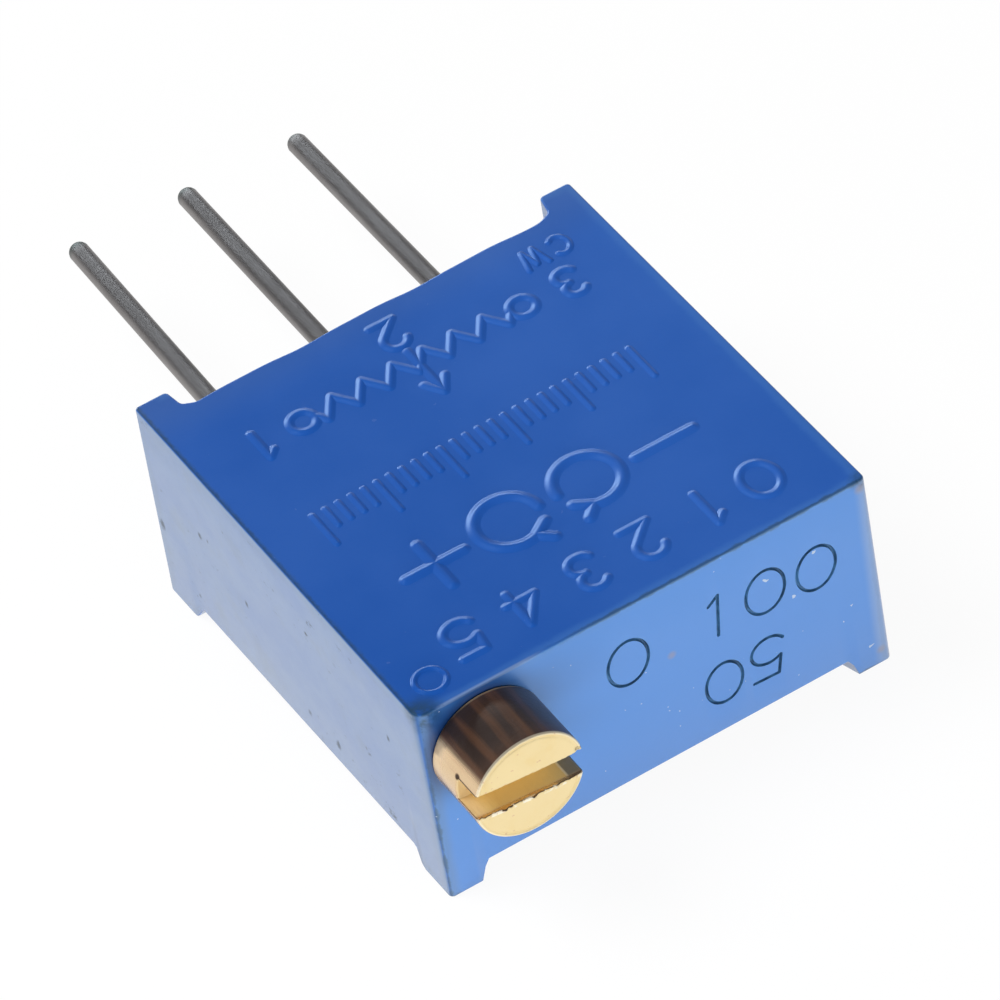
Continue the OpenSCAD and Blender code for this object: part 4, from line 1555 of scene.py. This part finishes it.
@dataclass
class LabelRelief:
    """The raised marks on the label face: plain dial marks and a resistor sign."""

    layout: Layout
    blue: Material
    bold: float = 0.17
    bold_height: float = 0.055
    fine: float = 0.13
    fine_height: float = 0.043
    thin: float = 0.1
    sunk: float = 0.003
    number_x: float = -3.65
    number_y: float = 8.42
    number_step: float = 1.28
    number_h: float = 0.9
    sign_y: float = 6.2
    sign_h: float = 1.55
    tick_x: float = -3.24
    tick_y: float = 4.5
    tick_run: float = 6.89
    long_tick: float = 0.9
    short_tick: float = 0.5

    def dial_numbers(self) -> list[Placed]:
        """The row of numbers nearest to the screw."""
        digits = (Mark.ZERO, Mark.ONE, Mark.TWO, Mark.THREE, Mark.FOUR, Mark.FIVE)
        marks = set_mark(Mark.RING, 3.8, 9.07, 0.6, 0.085)
        for k, digit in reversed(list(enumerate(digits))):
            x = self.number_x + self.number_step * k
            marks = set_mark(digit, x, self.number_y, self.number_h, self.fine) + marks
        return marks

    def turn_signs(self) -> list[Placed]:
        """Less, turn left, turn right, more."""
        row = (
            (Mark.MINUS, -3.2), (Mark.TURN_LEFT, -1.5), (Mark.TURN_RIGHT, 0.2),
            (Mark.PLUS, 1.75))
        y, height = self.sign_y, self.sign_h
        return [p for mark, x in row for p in set_mark(mark, x, y, height, self.bold)]

    def ticks(self) -> list[Placed]:
        """A scale of 25 divisions with every fifth tick longer."""
        tops = [self.long_tick if k % 5 == 0 else self.short_tick for k in range(26)]
        step = self.tick_run / 25
        return [
            Placed(line(0, 0, 0, top), self.tick_x + k * step, self.tick_y, 1.0, self.thin)
            for k, top in enumerate(tops)]

    def resistor_sign(self) -> list[Placed]:
        """A zigzag from ring 1 to ring 3, crossed by the wiper's arrow, and CW."""
        base, tall, step, peaks, shift = 2.32, 0.25, 0.33, 13, 0.12
        x = np.concatenate([[0.0], step * (np.arange(peaks) + 0.5), [step * peaks]])
        x = x - step * peaks / 2 + shift
        swing = np.concatenate([[0.0], tall * (-1.0) ** np.arange(peaks), [0.0]])
        points = np.column_stack([x, base + swing])
        marks = [
            Placed(line(*a, *b), 0, 0, 1.0, self.fine)
            for a, b in zip(points[:-1].tolist(), points[1:].tolist())]
        for end in (x[0] - 0.52, x[-1]):
            marks += set_mark(Mark.RING, end, base - 0.26, 0.52, self.fine)
        marks += [
            Placed(line(*a), 0, 0, 1.0, self.fine)
            for a in ((0.03, 1.95, 0.03, 3.3), (0.03, 3.3, -0.2, 2.92), (0.03, 3.3, 0.26, 2.92))
        ]
        for row in (
            (Mark.ONE, 3.25, 1.98, 0.75, self.fine), (Mark.TWO, -0.2, 1.02, 0.78, self.fine),
            (Mark.THREE, -3.55, 1.95, 0.75, self.fine), (Mark.C, -3.9, 1.1, 0.5, 0.09),
            (Mark.W, -3.35, 1.1, 0.5, 0.09)
        ):
            marks += set_mark(*row)
        return marks

    def build(self) -> Piece:
        """Makes all ridges as one mesh in the housing's own finish."""
        lay = self.layout
        face = Face((0, 0, lay.label_z), (-1, 0, 0), (0, -1, 0), (0, 0, 1))
        skin = Surface()
        for p in self.turn_signs():
            p.ridge(skin, face, self.bold_height, self.sunk)
        for p in self.dial_numbers() + self.ticks() + self.resistor_sign():
            p.ridge(skin, face, self.fine_height, self.sunk)
        piece = skin.build("label_relief", self.blue)
        shade(piece, 60, weighted=False)
        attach(piece, "body")
        return piece


@dataclass
class AdjustmentScrew:
    """The brass screw: slotted head, grooved journal, worm and pivot."""

    layout: Layout
    shared: GroupLibrary
    slot_w: float = 0.55
    slot_depth: float = 0.66
    slot_turn: float = 5.6
    rim_bevel: float = 0.05
    under_head_gap: float = 0.02
    journal_r: float = 0.93
    groove_r: float = 0.6
    ring_y: float = -9.13
    ring_groove_half_l: float = 0.21
    clip_y: float = -8.28
    clip_groove_half_l: float = 0.12
    journal_end_y: float = -7.78
    pivot_l: float = 1.22
    core_r: float = 0.4638
    pivot_r: float = 0.4
    worm_r: float = 0.91
    thread_pitch: float = 0.63715
    worm_turns: int = 5

    def head(self, skin: Surface) -> None:
        """Adds the head as one grid, whose rows are chords along the slot.

        Row i lies at b_i across the slot. Along it the grid goes up the flank, over
        the rounded rim, across the face or along the slot's floor, and down again.
        A ring at inset e from the rim has b = R s (1 - (e / R) s^2) with s = b_i / R,
        and half a chord of sqrt((R - e)^2 - b^2). A dent, burrs and a shallow groove by
        the rim are bells taken off or added to the depth.
        """
        lay, radius, bevel = self.layout, self.layout.head_r, self.rim_bevel
        half = self.slot_w / 2
        plain = radius * np.sin(np.linspace(-np.pi / 2, np.pi / 2, 81))
        plain = plain[np.abs(plain) > half + 0.03]
        edge = np.array([0.022, 0.014, 0.006, 0.0, -0.004, -0.012, -0.035])
        deep = self.slot_depth
        sunk = np.array([0.0, 0.002, 0.009, 0.022, deep - 0.03, deep - 0.006, deep])
        floor = np.linspace(-0.2, 0.2, 7)
        near = np.array([0.05, 0.075, 0.1, 0.13, 0.16])
        b = np.concatenate([plain, half + edge, -half - edge, floor, half + near, -half - near])
        depth = np.concatenate([0 * plain, sunk, sunk, 0 * floor + deep, 0 * near, 0 * near])
        order = np.argsort(b)
        b, depth = b[order][:, None], depth[order][:, None]
        s = b / radius

        def ring(inset: float) -> tuple[Array, Array]:
            """Place across the slot and half chord of the rows, inset from the rim."""
            across = radius * s * (1 - inset / radius * s * s)
            chord = np.sqrt(np.maximum((radius - inset) ** 2 - across**2, 0))
            return across, chord

        base = lay.front_y - self.under_head_gap - lay.head_front_y
        side = [
            (*ring(0.02 if share == 0 else 0.0), base + share * (depth + bevel - base))
            for share in (0.0, 0.03, 0.5, 0.97)]
        side += [
            (*ring(bevel * (1 - np.sin(angle))), depth + bevel * (1 - np.cos(angle)))
            for angle in np.linspace(np.pi / 2, 0, 5)]
        places, chords, depths = zip(*side)
        across, chord = ring(bevel)
        face_a = chord * np.sin(np.linspace(-np.pi / 2, np.pi / 2, 91))[1:-1]
        a = np.hstack([*[-c for c in chords], face_a, *chords[::-1]])
        b = np.hstack([*places, across + 0 * face_a, *places[::-1]])
        d = np.hstack([*depths, depth + 0 * face_a, *depths[::-1]])

        on_face = smooth_step(0.12, 0.02, np.abs(d))
        upper = smooth_step(half - 0.02, half + 0.01, b)
        lower = smooth_step(-half + 0.02, -half - 0.01, b)
        # Unevenness left by the cutter along both jaws.
        wave = np.sin(23 * a + 1.3) * np.sin(9.1 * a + 0.4) + 0.6 * np.sin(57 * a)
        lip = hill(np.abs(b), half + 0.012, 0.03)
        d = d - on_face * 0.010 * lip * np.clip(wave, -0.4, 1.2) * lower
        d = d + on_face * 0.006 * lip * np.clip(wave, -0.4, 1.2) * upper
        # Burrs on the lower jaw.
        for at, width, tall in (
            (-0.56, 0.06, 0.05), (-0.42, 0.04, 0.03), (0.06, 0.07, 0.045), (0.55, 0.05, 0.03)
        ):
            d -= on_face * tall * hill(a, at, width) * hill(b, -half - 0.03, 0.035)
        # Dent at the right end of the upper jaw, and a shallow groove by the rim.
        d += 0.06 * hill(a, 1.03, 0.10) * hill(b, half + 0.05, 0.06) * upper
        d += on_face * 0.016 * hill(np.hypot(a, b), radius - 0.085, 0.03)
        # The face is very slightly crowned.
        d += on_face * 0.012 * (a * a + b * b) / radius**2

        number = skin.add_grid(self.head_place(a, b, d))
        skin.add_cap(np.concatenate([number[:, 0], number[::-1, -1]]))

    def head_place(self, a: Array, b: Array, d: Array) -> Array:
        """Puts a along the slot, b across it and d behind the end face into space."""
        lay, turn = self.layout, np.radians(self.slot_turn)
        a, b, d = (np.asarray(v, float)[..., None] for v in (a, b, d))
        return (
            np.array([lay.axis_x, lay.head_front_y, lay.axis_z])
            + a * np.array([np.cos(turn), 0, -np.sin(turn)])
            + b * np.array([np.sin(turn), 0, np.cos(turn)]) + d * np.array([0, 1, 0]))

    def shaft(self, skin: Surface) -> None:
        """Adds the journal with its two grooves, the core of the worm and the pivot."""
        lay = self.layout
        j, g, c = self.journal_r, self.groove_r, 0.02
        start = lay.front_y - 0.1
        worm_end = lay.screw_end_y - self.pivot_l

        def groove(y: float, half: float) -> list[list[float]]:
            """The profile into a groove about y, across its floor and out of it."""
            low, high = y - half, y + half
            return [
                [j, low - c], [j - c, low], [g, low], [g, high], [j - c, high], [j, high + c]]

        profile = np.array(
            [
                [0, start], [j, start], *groove(self.ring_y, self.ring_groove_half_l),
                *groove(self.clip_y, self.clip_groove_half_l), [j, self.journal_end_y - c],
                [j - c, self.journal_end_y], [self.core_r, self.journal_end_y],
                [self.core_r, worm_end - c], [self.core_r - c, worm_end],
                [self.pivot_r, worm_end], [self.pivot_r, lay.screw_end_y - 2 * c],
                [self.pivot_r - 2 * c, lay.screw_end_y], [0, lay.screw_end_y]])
        skin.add_lathe(profile, np.array([lay.axis_x, 0, lay.axis_z]), 72)

    def thread(self, skin: Surface) -> None:
        """Adds the worm's thread, a trapezoid carried along a right-handed helix.

        At an angle t from straight up the point is (r sin t, y, r cos t), and y grows
        by one pitch a turn. The crest rises from the core over the first and last
        third of a turn.
        """
        lay, pitch = self.layout, self.thread_pitch
        t = np.linspace(-0.5, 0.5, self.worm_turns * 48 + 1) * self.worm_turns
        shape = np.array(
            [
                [0.0, -0.24], [0.85, -0.115], [1.0, -0.08], [1.0, 0.08], [0.85, 0.115],
                [0.0, 0.24]])
        rise = smooth_step(self.worm_turns / 2, self.worm_turns / 2 - 0.33, np.abs(t))
        low = self.core_r - 0.04
        radius = low + (self.worm_r - low) * shape[:, :1] * (0.15 + 0.85 * rise)
        angle = 2 * np.pi * t
        x, z = lay.axis_x + radius * np.sin(angle), lay.axis_z + radius * np.cos(angle)
        y = lay.wheel_y + pitch * (t + 0.25 + shape[:, 1:])
        skin.add_tube(xyz(x, y, z), along_rows=True)

    def build(self) -> Piece:
        """Makes the screw and dresses it."""
        skin = Surface()
        self.head(skin)
        self.shaft(skin)
        self.thread(skin)
        half = self.slot_w / 2
        edge = -np.sqrt(self.layout.head_r**2 - half**2)
        jaw = self.head_place(edge, half, self.slot_depth)
        brass = TurnedBrass().material(
            self.shared, self.layout, tuple(jaw.tolist()), self.slot_turn, half)
        piece = skin.build("brass_screw", brass)
        shade(piece, 34, weighted=False)
        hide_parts("adjustment_screw")
        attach(piece, "screw")
        return piece


@dataclass
class TerminalPins:
    """The three round wire pins with their flattened tails."""

    layout: Layout
    shared: GroupLibrary
    tail_w: float = 0.4
    slim: float = 0.024
    lean: tuple[float, float, float] = (0.10, 0.01, -0.055)
    tip_round: float = 0.17
    extra: tuple[float, float, float] = (0.04, 0.01, -0.05)

    def pin(self, x: float, index: int, tin: Material) -> Piece:
        """One pin: a cross-section carried along Y.

        The cross-section at y is (|cos t|^q a, |sin t|^q b) with their signs. Outside
        the body q is 1 and a = b is the pin's radius, and in the tail q is 0.22, a is
        half the tail's width and b the pin's radius. The tip is part of an ellipse.
        Outside the body each pin leans evenly along X.
        """
        lay, r = self.layout, self.layout.pin_r - self.slim
        tip = lay.pin_tip_y + self.extra[index - 1]
        shoulder = lay.rear_y + 0.02
        swing = np.linspace(0, np.pi / 2, 9)
        y = np.concatenate(
            [
                [lay.pin_tail_y, lay.pin_tail_y, lay.pin_tail_y + 0.03, shoulder, shoulder],
                np.linspace(shoulder + 0.02, tip - self.tip_round, 40),
                tip - self.tip_round * (1 - np.sin(swing[1:]))])
        wide = np.concatenate([[0, 0.9, 1, 1], np.ones(41), np.cos(swing[1:]) * 0.97])
        in_tail = np.arange(len(y)) < 4
        a = np.where(in_tail, self.tail_w / 2, r) * wide
        b = r * wide
        power = np.where(in_tail, 0.22, 1.0)[:, None]
        c, s = np.cos(full_turn(48)), np.sin(full_turn(48))
        drift = self.lean[index - 1] * np.maximum(y, 0) / tip
        xs = x + drift[:, None] + a[:, None] * np.sign(c) * np.abs(c) ** power
        zs = b[:, None] * np.sign(s) * np.abs(s) ** power
        skin = Surface()
        skin.add_grid(xyz(xs, y[:, None], zs), close_columns=True)
        piece = skin.build(f"wire_pin_{index}", tin)
        shade(piece, 40, weighted=False)
        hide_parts(f"terminal_pin_{index}")
        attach(piece, "body")
        return piece

    def build(self) -> list[Piece]:
        """Makes all three pins."""
        tin = DullTin().material(self.shared, self.layout)
        return [self.pin(x, i + 1, tin) for i, x in enumerate(self.layout.pin_xs)]


@dataclass
class Potting:
    """The cast resin that closes the back, with its tongues under the pins."""

    layout: Layout
    shared: GroupLibrary
    sink: float = 0.05
    creep: float = 0.1

    def build(self) -> Piece:
        """Makes the resin.

        Its free face sinks by sink in the middle and creeps up the walls: the height
        is sink (1 - exp(-d / creep)) over the edge, with d the distance to the wall,
        and broad waves of a hundredth of a millimetre lie on it.
        """
        lay = self.layout
        resin = plain_finish(
            "cast_resin", Tone.RESIN, 0.3, (0.014, 0.05, 0.19), (0.02, 0.07, 0.24), 0.5, 3e-6
        ).material(self.shared)
        share = (1 - np.cos(np.linspace(0, np.pi, 49))) / 2
        x = -lay.seat_x + 2 * lay.seat_x * share
        y = lay.seat_front_y + (lay.seat_rear_y - lay.seat_front_y) * share
        gx, gy = np.meshgrid(x, y, indexing="ij")
        wall = np.minimum(np.minimum(gx - x[0], x[-1] - gx), np.minimum(gy - y[0], y[-1] - gy))
        z = lay.potting_z + self.sink * (1 - np.exp(-wall / self.creep))
        z = z + 0.006 * smooth_step(0, 0.5, wall) * np.sin(1.7 * gx + 0.6) * np.cos(1.3 * gy)
        skin = Surface()
        number = skin.add_grid(xyz(gx, gy, z))
        ring = np.concatenate(
            [number[:-1, 0], number[-1, :-1], number[:0:-1, -1], number[0, :0:-1]])
        flat = xyz(gx, gy, z).reshape(-1, 3)[ring]
        upper = flat.copy()
        upper[:, 2] = lay.ceramic_z
        sides = skin.add_grid(np.stack([flat, upper]), close_columns=True)
        skin.add_cap(sides[1])
        for pin_x in lay.pin_xs:
            tongue = block(
                [pin_x - 0.205, lay.seat_rear_y - 0.03, lay.potting_z + 0.02],
                [pin_x + 0.205, lay.rear_y - 0.01, lay.film_top_z])
            skin.faces += [[i + skin.count for i in face] for face in tongue.faces]
            skin.points += tongue.points
            skin.count += tongue.count
        piece = skin.build("resin_fill", resin)
        shade(piece, 40)
        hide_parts("potting_seal")
        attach(piece, "body")
        return piece


@dataclass
class HiddenPieces:
    """The pieces sealed inside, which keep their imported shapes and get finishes."""

    shared: GroupLibrary
    finishes: dict[str, PlainFinish] = field(
        default_factory=lambda: {
            "shaft_o_ring": plain_finish(
                "seal_rubber", Tone.RUBBER, 0.65, (0.018, 0.018, 0.019), (0.035, 0.034, 0.033),
                4.0),
            "retaining_clip": plain_finish(
                "spring_steel", Tone.METAL, 0.32, (0.60, 0.61, 0.62), (0.42, 0.43, 0.45), 2.0),
            "worm_wheel": plain_finish(
                "wheel_plastic", Tone.PLASTIC, 0.42, (0.78, 0.76, 0.68), (0.70, 0.67, 0.58), 0.8
            ),
            "contact_spring": plain_finish(
                "contact_metal", Tone.METAL, 0.26, (0.74, 0.60, 0.32), (0.60, 0.44, 0.20), 2.5,
                1e-6),
            "ceramic_substrate": plain_finish(
                "fired_ceramic", Tone.FIRED, 0.5, (0.85, 0.84, 0.80), (0.78, 0.76, 0.71), 1.2),
            "resistance_track": plain_finish(
                "resistive_film", Tone.FIRED, 0.38, (0.016, 0.016, 0.017),
                (0.040, 0.038, 0.036), 5.0),
            "collector_film": plain_finish(
                "conductor_film", Tone.METAL, 0.45, (0.68, 0.67, 0.63), (0.55, 0.53, 0.48), 3.0
            ),
            "solder_joint_1": plain_finish(
                "soft_solder", Tone.METAL, 0.3, (0.60, 0.61, 0.63), (0.45, 0.45, 0.47), 3.0,
                4e-6)})
    same: dict[str, str] = field(
        default_factory=lambda: {
            "end_pad_1": "collector_film", "end_pad_3": "collector_film",
            "solder_joint_2": "solder_joint_1", "solder_joint_3": "solder_joint_1"})

    def build(self) -> list[str]:
        """Dresses each carried-over node.

        Returns:
            Their names.
        """
        made = {node: f.material(self.shared) for node, f in self.finishes.items()}
        made |= {node: made[twin] for node, twin in self.same.items()}
        for node, material in made.items():
            piece = frame["nodes"][node]
            piece.data.materials.clear()
            piece.data.materials.append(material)
        return sorted(made)


@dataclass
class Studio:
    """White floor, dim surroundings, a soft key lamp and a low strip in front."""

    layout: Layout
    azimuth: float = -25.2
    elevation: float = 45.01
    roll: float = -9.63
    distance: float = 152.95
    offset: tuple[float, float] = (-0.214, 0.640)
    target: tuple[float, float, float] = (0.0, -5.03, 0.28)
    sensor: float = 36.0
    lens: float = 297.468
    ambient: float = 0.30
    key_radiance: float = 9.0
    key_way: tuple[float, float, float] = (-0.45, 0.25, 0.86)
    key_radius: float = 42.0
    key_distance: float = 150.0
    strip_radiance: float = 5.4
    strip_place: tuple[float, float, float] = (-18.0, -70.0, 9.0)
    strip_size: tuple[float, float] = (110.0, 14.0)
    rim_radiance: float = 7.0
    rim_place: tuple[float, float, float] = (8.0, 138.0, 55.0)
    rim_size: tuple[float, float] = (150.0, 34.0)
    rim_tint: Colour = (0.86, 0.94, 1.0)
    room_colour: Colour = (0.09, 0.085, 0.09)
    floor_colour: Colour = (0.86, 0.86, 0.86)
    floor_glow: float = 1.02
    glow_share: float = 0.918

    def camera(self) -> None:
        """Sets the camera: back from the target along the view, rolled about it."""
        az, el, roll = np.radians([self.azimuth, self.elevation, self.roll])
        back = np.array([np.sin(az) * np.cos(el), -np.cos(az) * np.cos(el), np.sin(el)])
        right = np.array([np.cos(az), np.sin(az), 0])
        up = np.cross(back, right)
        turned = right * np.cos(roll) + up * np.sin(roll)
        risen = -right * np.sin(roll) + up * np.cos(roll)
        place = (
            np.array(self.target) + back * self.distance + turned * self.offset[0]
            + risen * self.offset[1]) * MM
        data = bpy.data.cameras.new("studio_camera")
        data.sensor_width = self.sensor
        data.lens = self.lens
        data.clip_start, data.clip_end = 0.001, 20.0
        camera = put_in_scene("studio_camera", data)
        turn = Matrix(np.column_stack([turned, risen, back]).tolist())
        camera.matrix_world = Matrix.Translation(place.tolist()) @ turn.to_4x4()
        bpy.context.scene.camera = camera

    def floor(self) -> None:
        """A wide pale disc under the body."""
        skin = Surface()
        radius = np.concatenate([[0.0], np.geomspace(5, 4000, 24)])[:, None]
        x, y = radius * np.cos(full_turn(64)), radius * np.sin(full_turn(64))
        grid = xyz(x, self.layout.front_y / 2 + y, self.layout.back_z - 0.002)
        skin.add_grid(grid, close_columns=True)
        material = bpy.data.materials.new("studio_floor")
        sheet = fresh_sheet(material)
        rays = sheet.add("LightPath").outputs
        seen = sheet.most(
            rays["Is Camera Ray"], rays["Is Glossy Ray"], rays["Is Transmission Ray"])
        plain = sheet.add("BsdfDiffuse")
        sheet.feed(plain.inputs["Color"], self.floor_colour)
        white = sheet.add("Emission")
        sheet.feed(white.inputs["Color"], (1, 1, 1))
        sheet.feed(white.inputs["Strength"], self.floor_glow)
        mix = sheet.add("MixShader")
        sheet.feed(mix.inputs[0], sheet.times(seen, self.glow_share))
        sheet.feed(mix.inputs[1], plain.outputs[0])
        sheet.feed(mix.inputs[2], white.outputs[0])
        out = sheet.add("OutputMaterial")
        sheet.feed(out.inputs["Surface"], mix.outputs[0])
        disc = skin.build("studio_floor", material)

    def world(self) -> None:
        """White to the camera, a dark room to glossy rays, dim light to the rest.

        To glossy rays the room is white up to the horizon and fades to dark over it.
        """
        world = bpy.data.worlds.new("studio_room")
        bpy.context.scene.world = world
        sheet = fresh_sheet(world)
        rays = sheet.add("LightPath").outputs
        way = sheet.parts(sheet.add("TexCoord").outputs["Generated"])
        dark = sheet.remap(way[2], -0.02, 0.2)
        room = sheet.blend(dark, (1, 1, 1), self.room_colour)
        dim = (self.ambient, self.ambient, self.ambient)
        seen = sheet.most(rays["Is Camera Ray"], rays["Is Transmission Ray"])
        colour = sheet.blend(rays["Is Glossy Ray"], dim, room)
        colour = sheet.blend(seen, colour, (1, 1, 1))
        light = sheet.add("Background")
        sheet.feed(light.inputs["Color"], colour)
        out = sheet.add("OutputWorld")
        sheet.feed(out.inputs["Surface"], light.outputs[0])

    def lamp(
        self, name: str, place: Array, aim: Array, size: tuple[float, float], radiance: float,
        round_lamp: bool
    ) -> Piece:
        """A soft lamp that the camera doesn't see.

        Its power is radiance times pi times its area, so that the same radiance
        lights a small object as it would a large one.

        Args:
            name: The lamp's name.
            place: Where it stands, in millimetres.
            aim: What it points at, in millimetres.
            size: Its width and height in millimetres.
            radiance: How bright its face is.
            round_lamp: An ellipse rather than a rectangle.
        Returns:
            The lamp.
        """
        data = bpy.data.lights.new(name, "AREA")
        data.shape = "ELLIPSE" if round_lamp else "RECTANGLE"
        data.size, data.size_y = size[0] * MM, size[1] * MM
        area = size[0] * size[1] * MM * MM * (np.pi / 4 if round_lamp else 1)
        data.energy = radiance * np.pi * area
        lamp = put_in_scene(name, data)
        lamp.location = (place * MM).tolist()
        way = Vector((aim - place).tolist())
        lamp.rotation_mode = "QUATERNION"
        lamp.rotation_quaternion = way.to_track_quat("-Z", "Y")
        lamp.visible_camera = False
        return lamp

    def build(self) -> None:
        """Sets the whole studio up."""
        scene = bpy.context.scene
        scene.view_settings.view_transform = "Standard"
        self.camera()
        self.floor()
        self.world()
        aim = np.array(self.target)
        way = np.array(self.key_way) / np.linalg.norm(self.key_way)
        key = self.lamp(
            "key_lamp", aim + way * self.key_distance, aim,
            (2 * self.key_radius, 2 * self.key_radius), self.key_radiance, True)
        strip = self.lamp(
            "front_strip", np.array(self.strip_place),
            np.array([0.0, self.layout.front_y, 1.0]), self.strip_size, self.strip_radiance,
            False)
        for lamp in (key, strip):
            lamp.visible_glossy = False
        rim = self.lamp(
            "rim_strip", np.array(self.rim_place), aim, self.rim_size, self.rim_radiance, False)
        rim.visible_diffuse = False
        rim.data.color = self.rim_tint


def main() -> None:
    """Builds every piece in order and reports it."""
    logging.basicConfig(level=logging.INFO, format="%(name)s: %(message)s")
    layout = Layout.from_frame()
    shared = GroupLibrary()
    housing = Housing(layout, shared).build()
    made = [
        housing, LabelRelief(layout, housing.data.materials[0]).build(),
        AdjustmentScrew(layout, shared).build(), *TerminalPins(layout, shared).build(),
        Potting(layout, shared).build()]
    for piece in made:
        log.info("%s: %d faces", piece.name, len(piece.data.polygons))
    log.info("hidden pieces: %s", ", ".join(HiddenPieces(shared).build()))
    Studio(layout).build()
    log.info("studio ready")


if __name__ == "__main__":
    main()
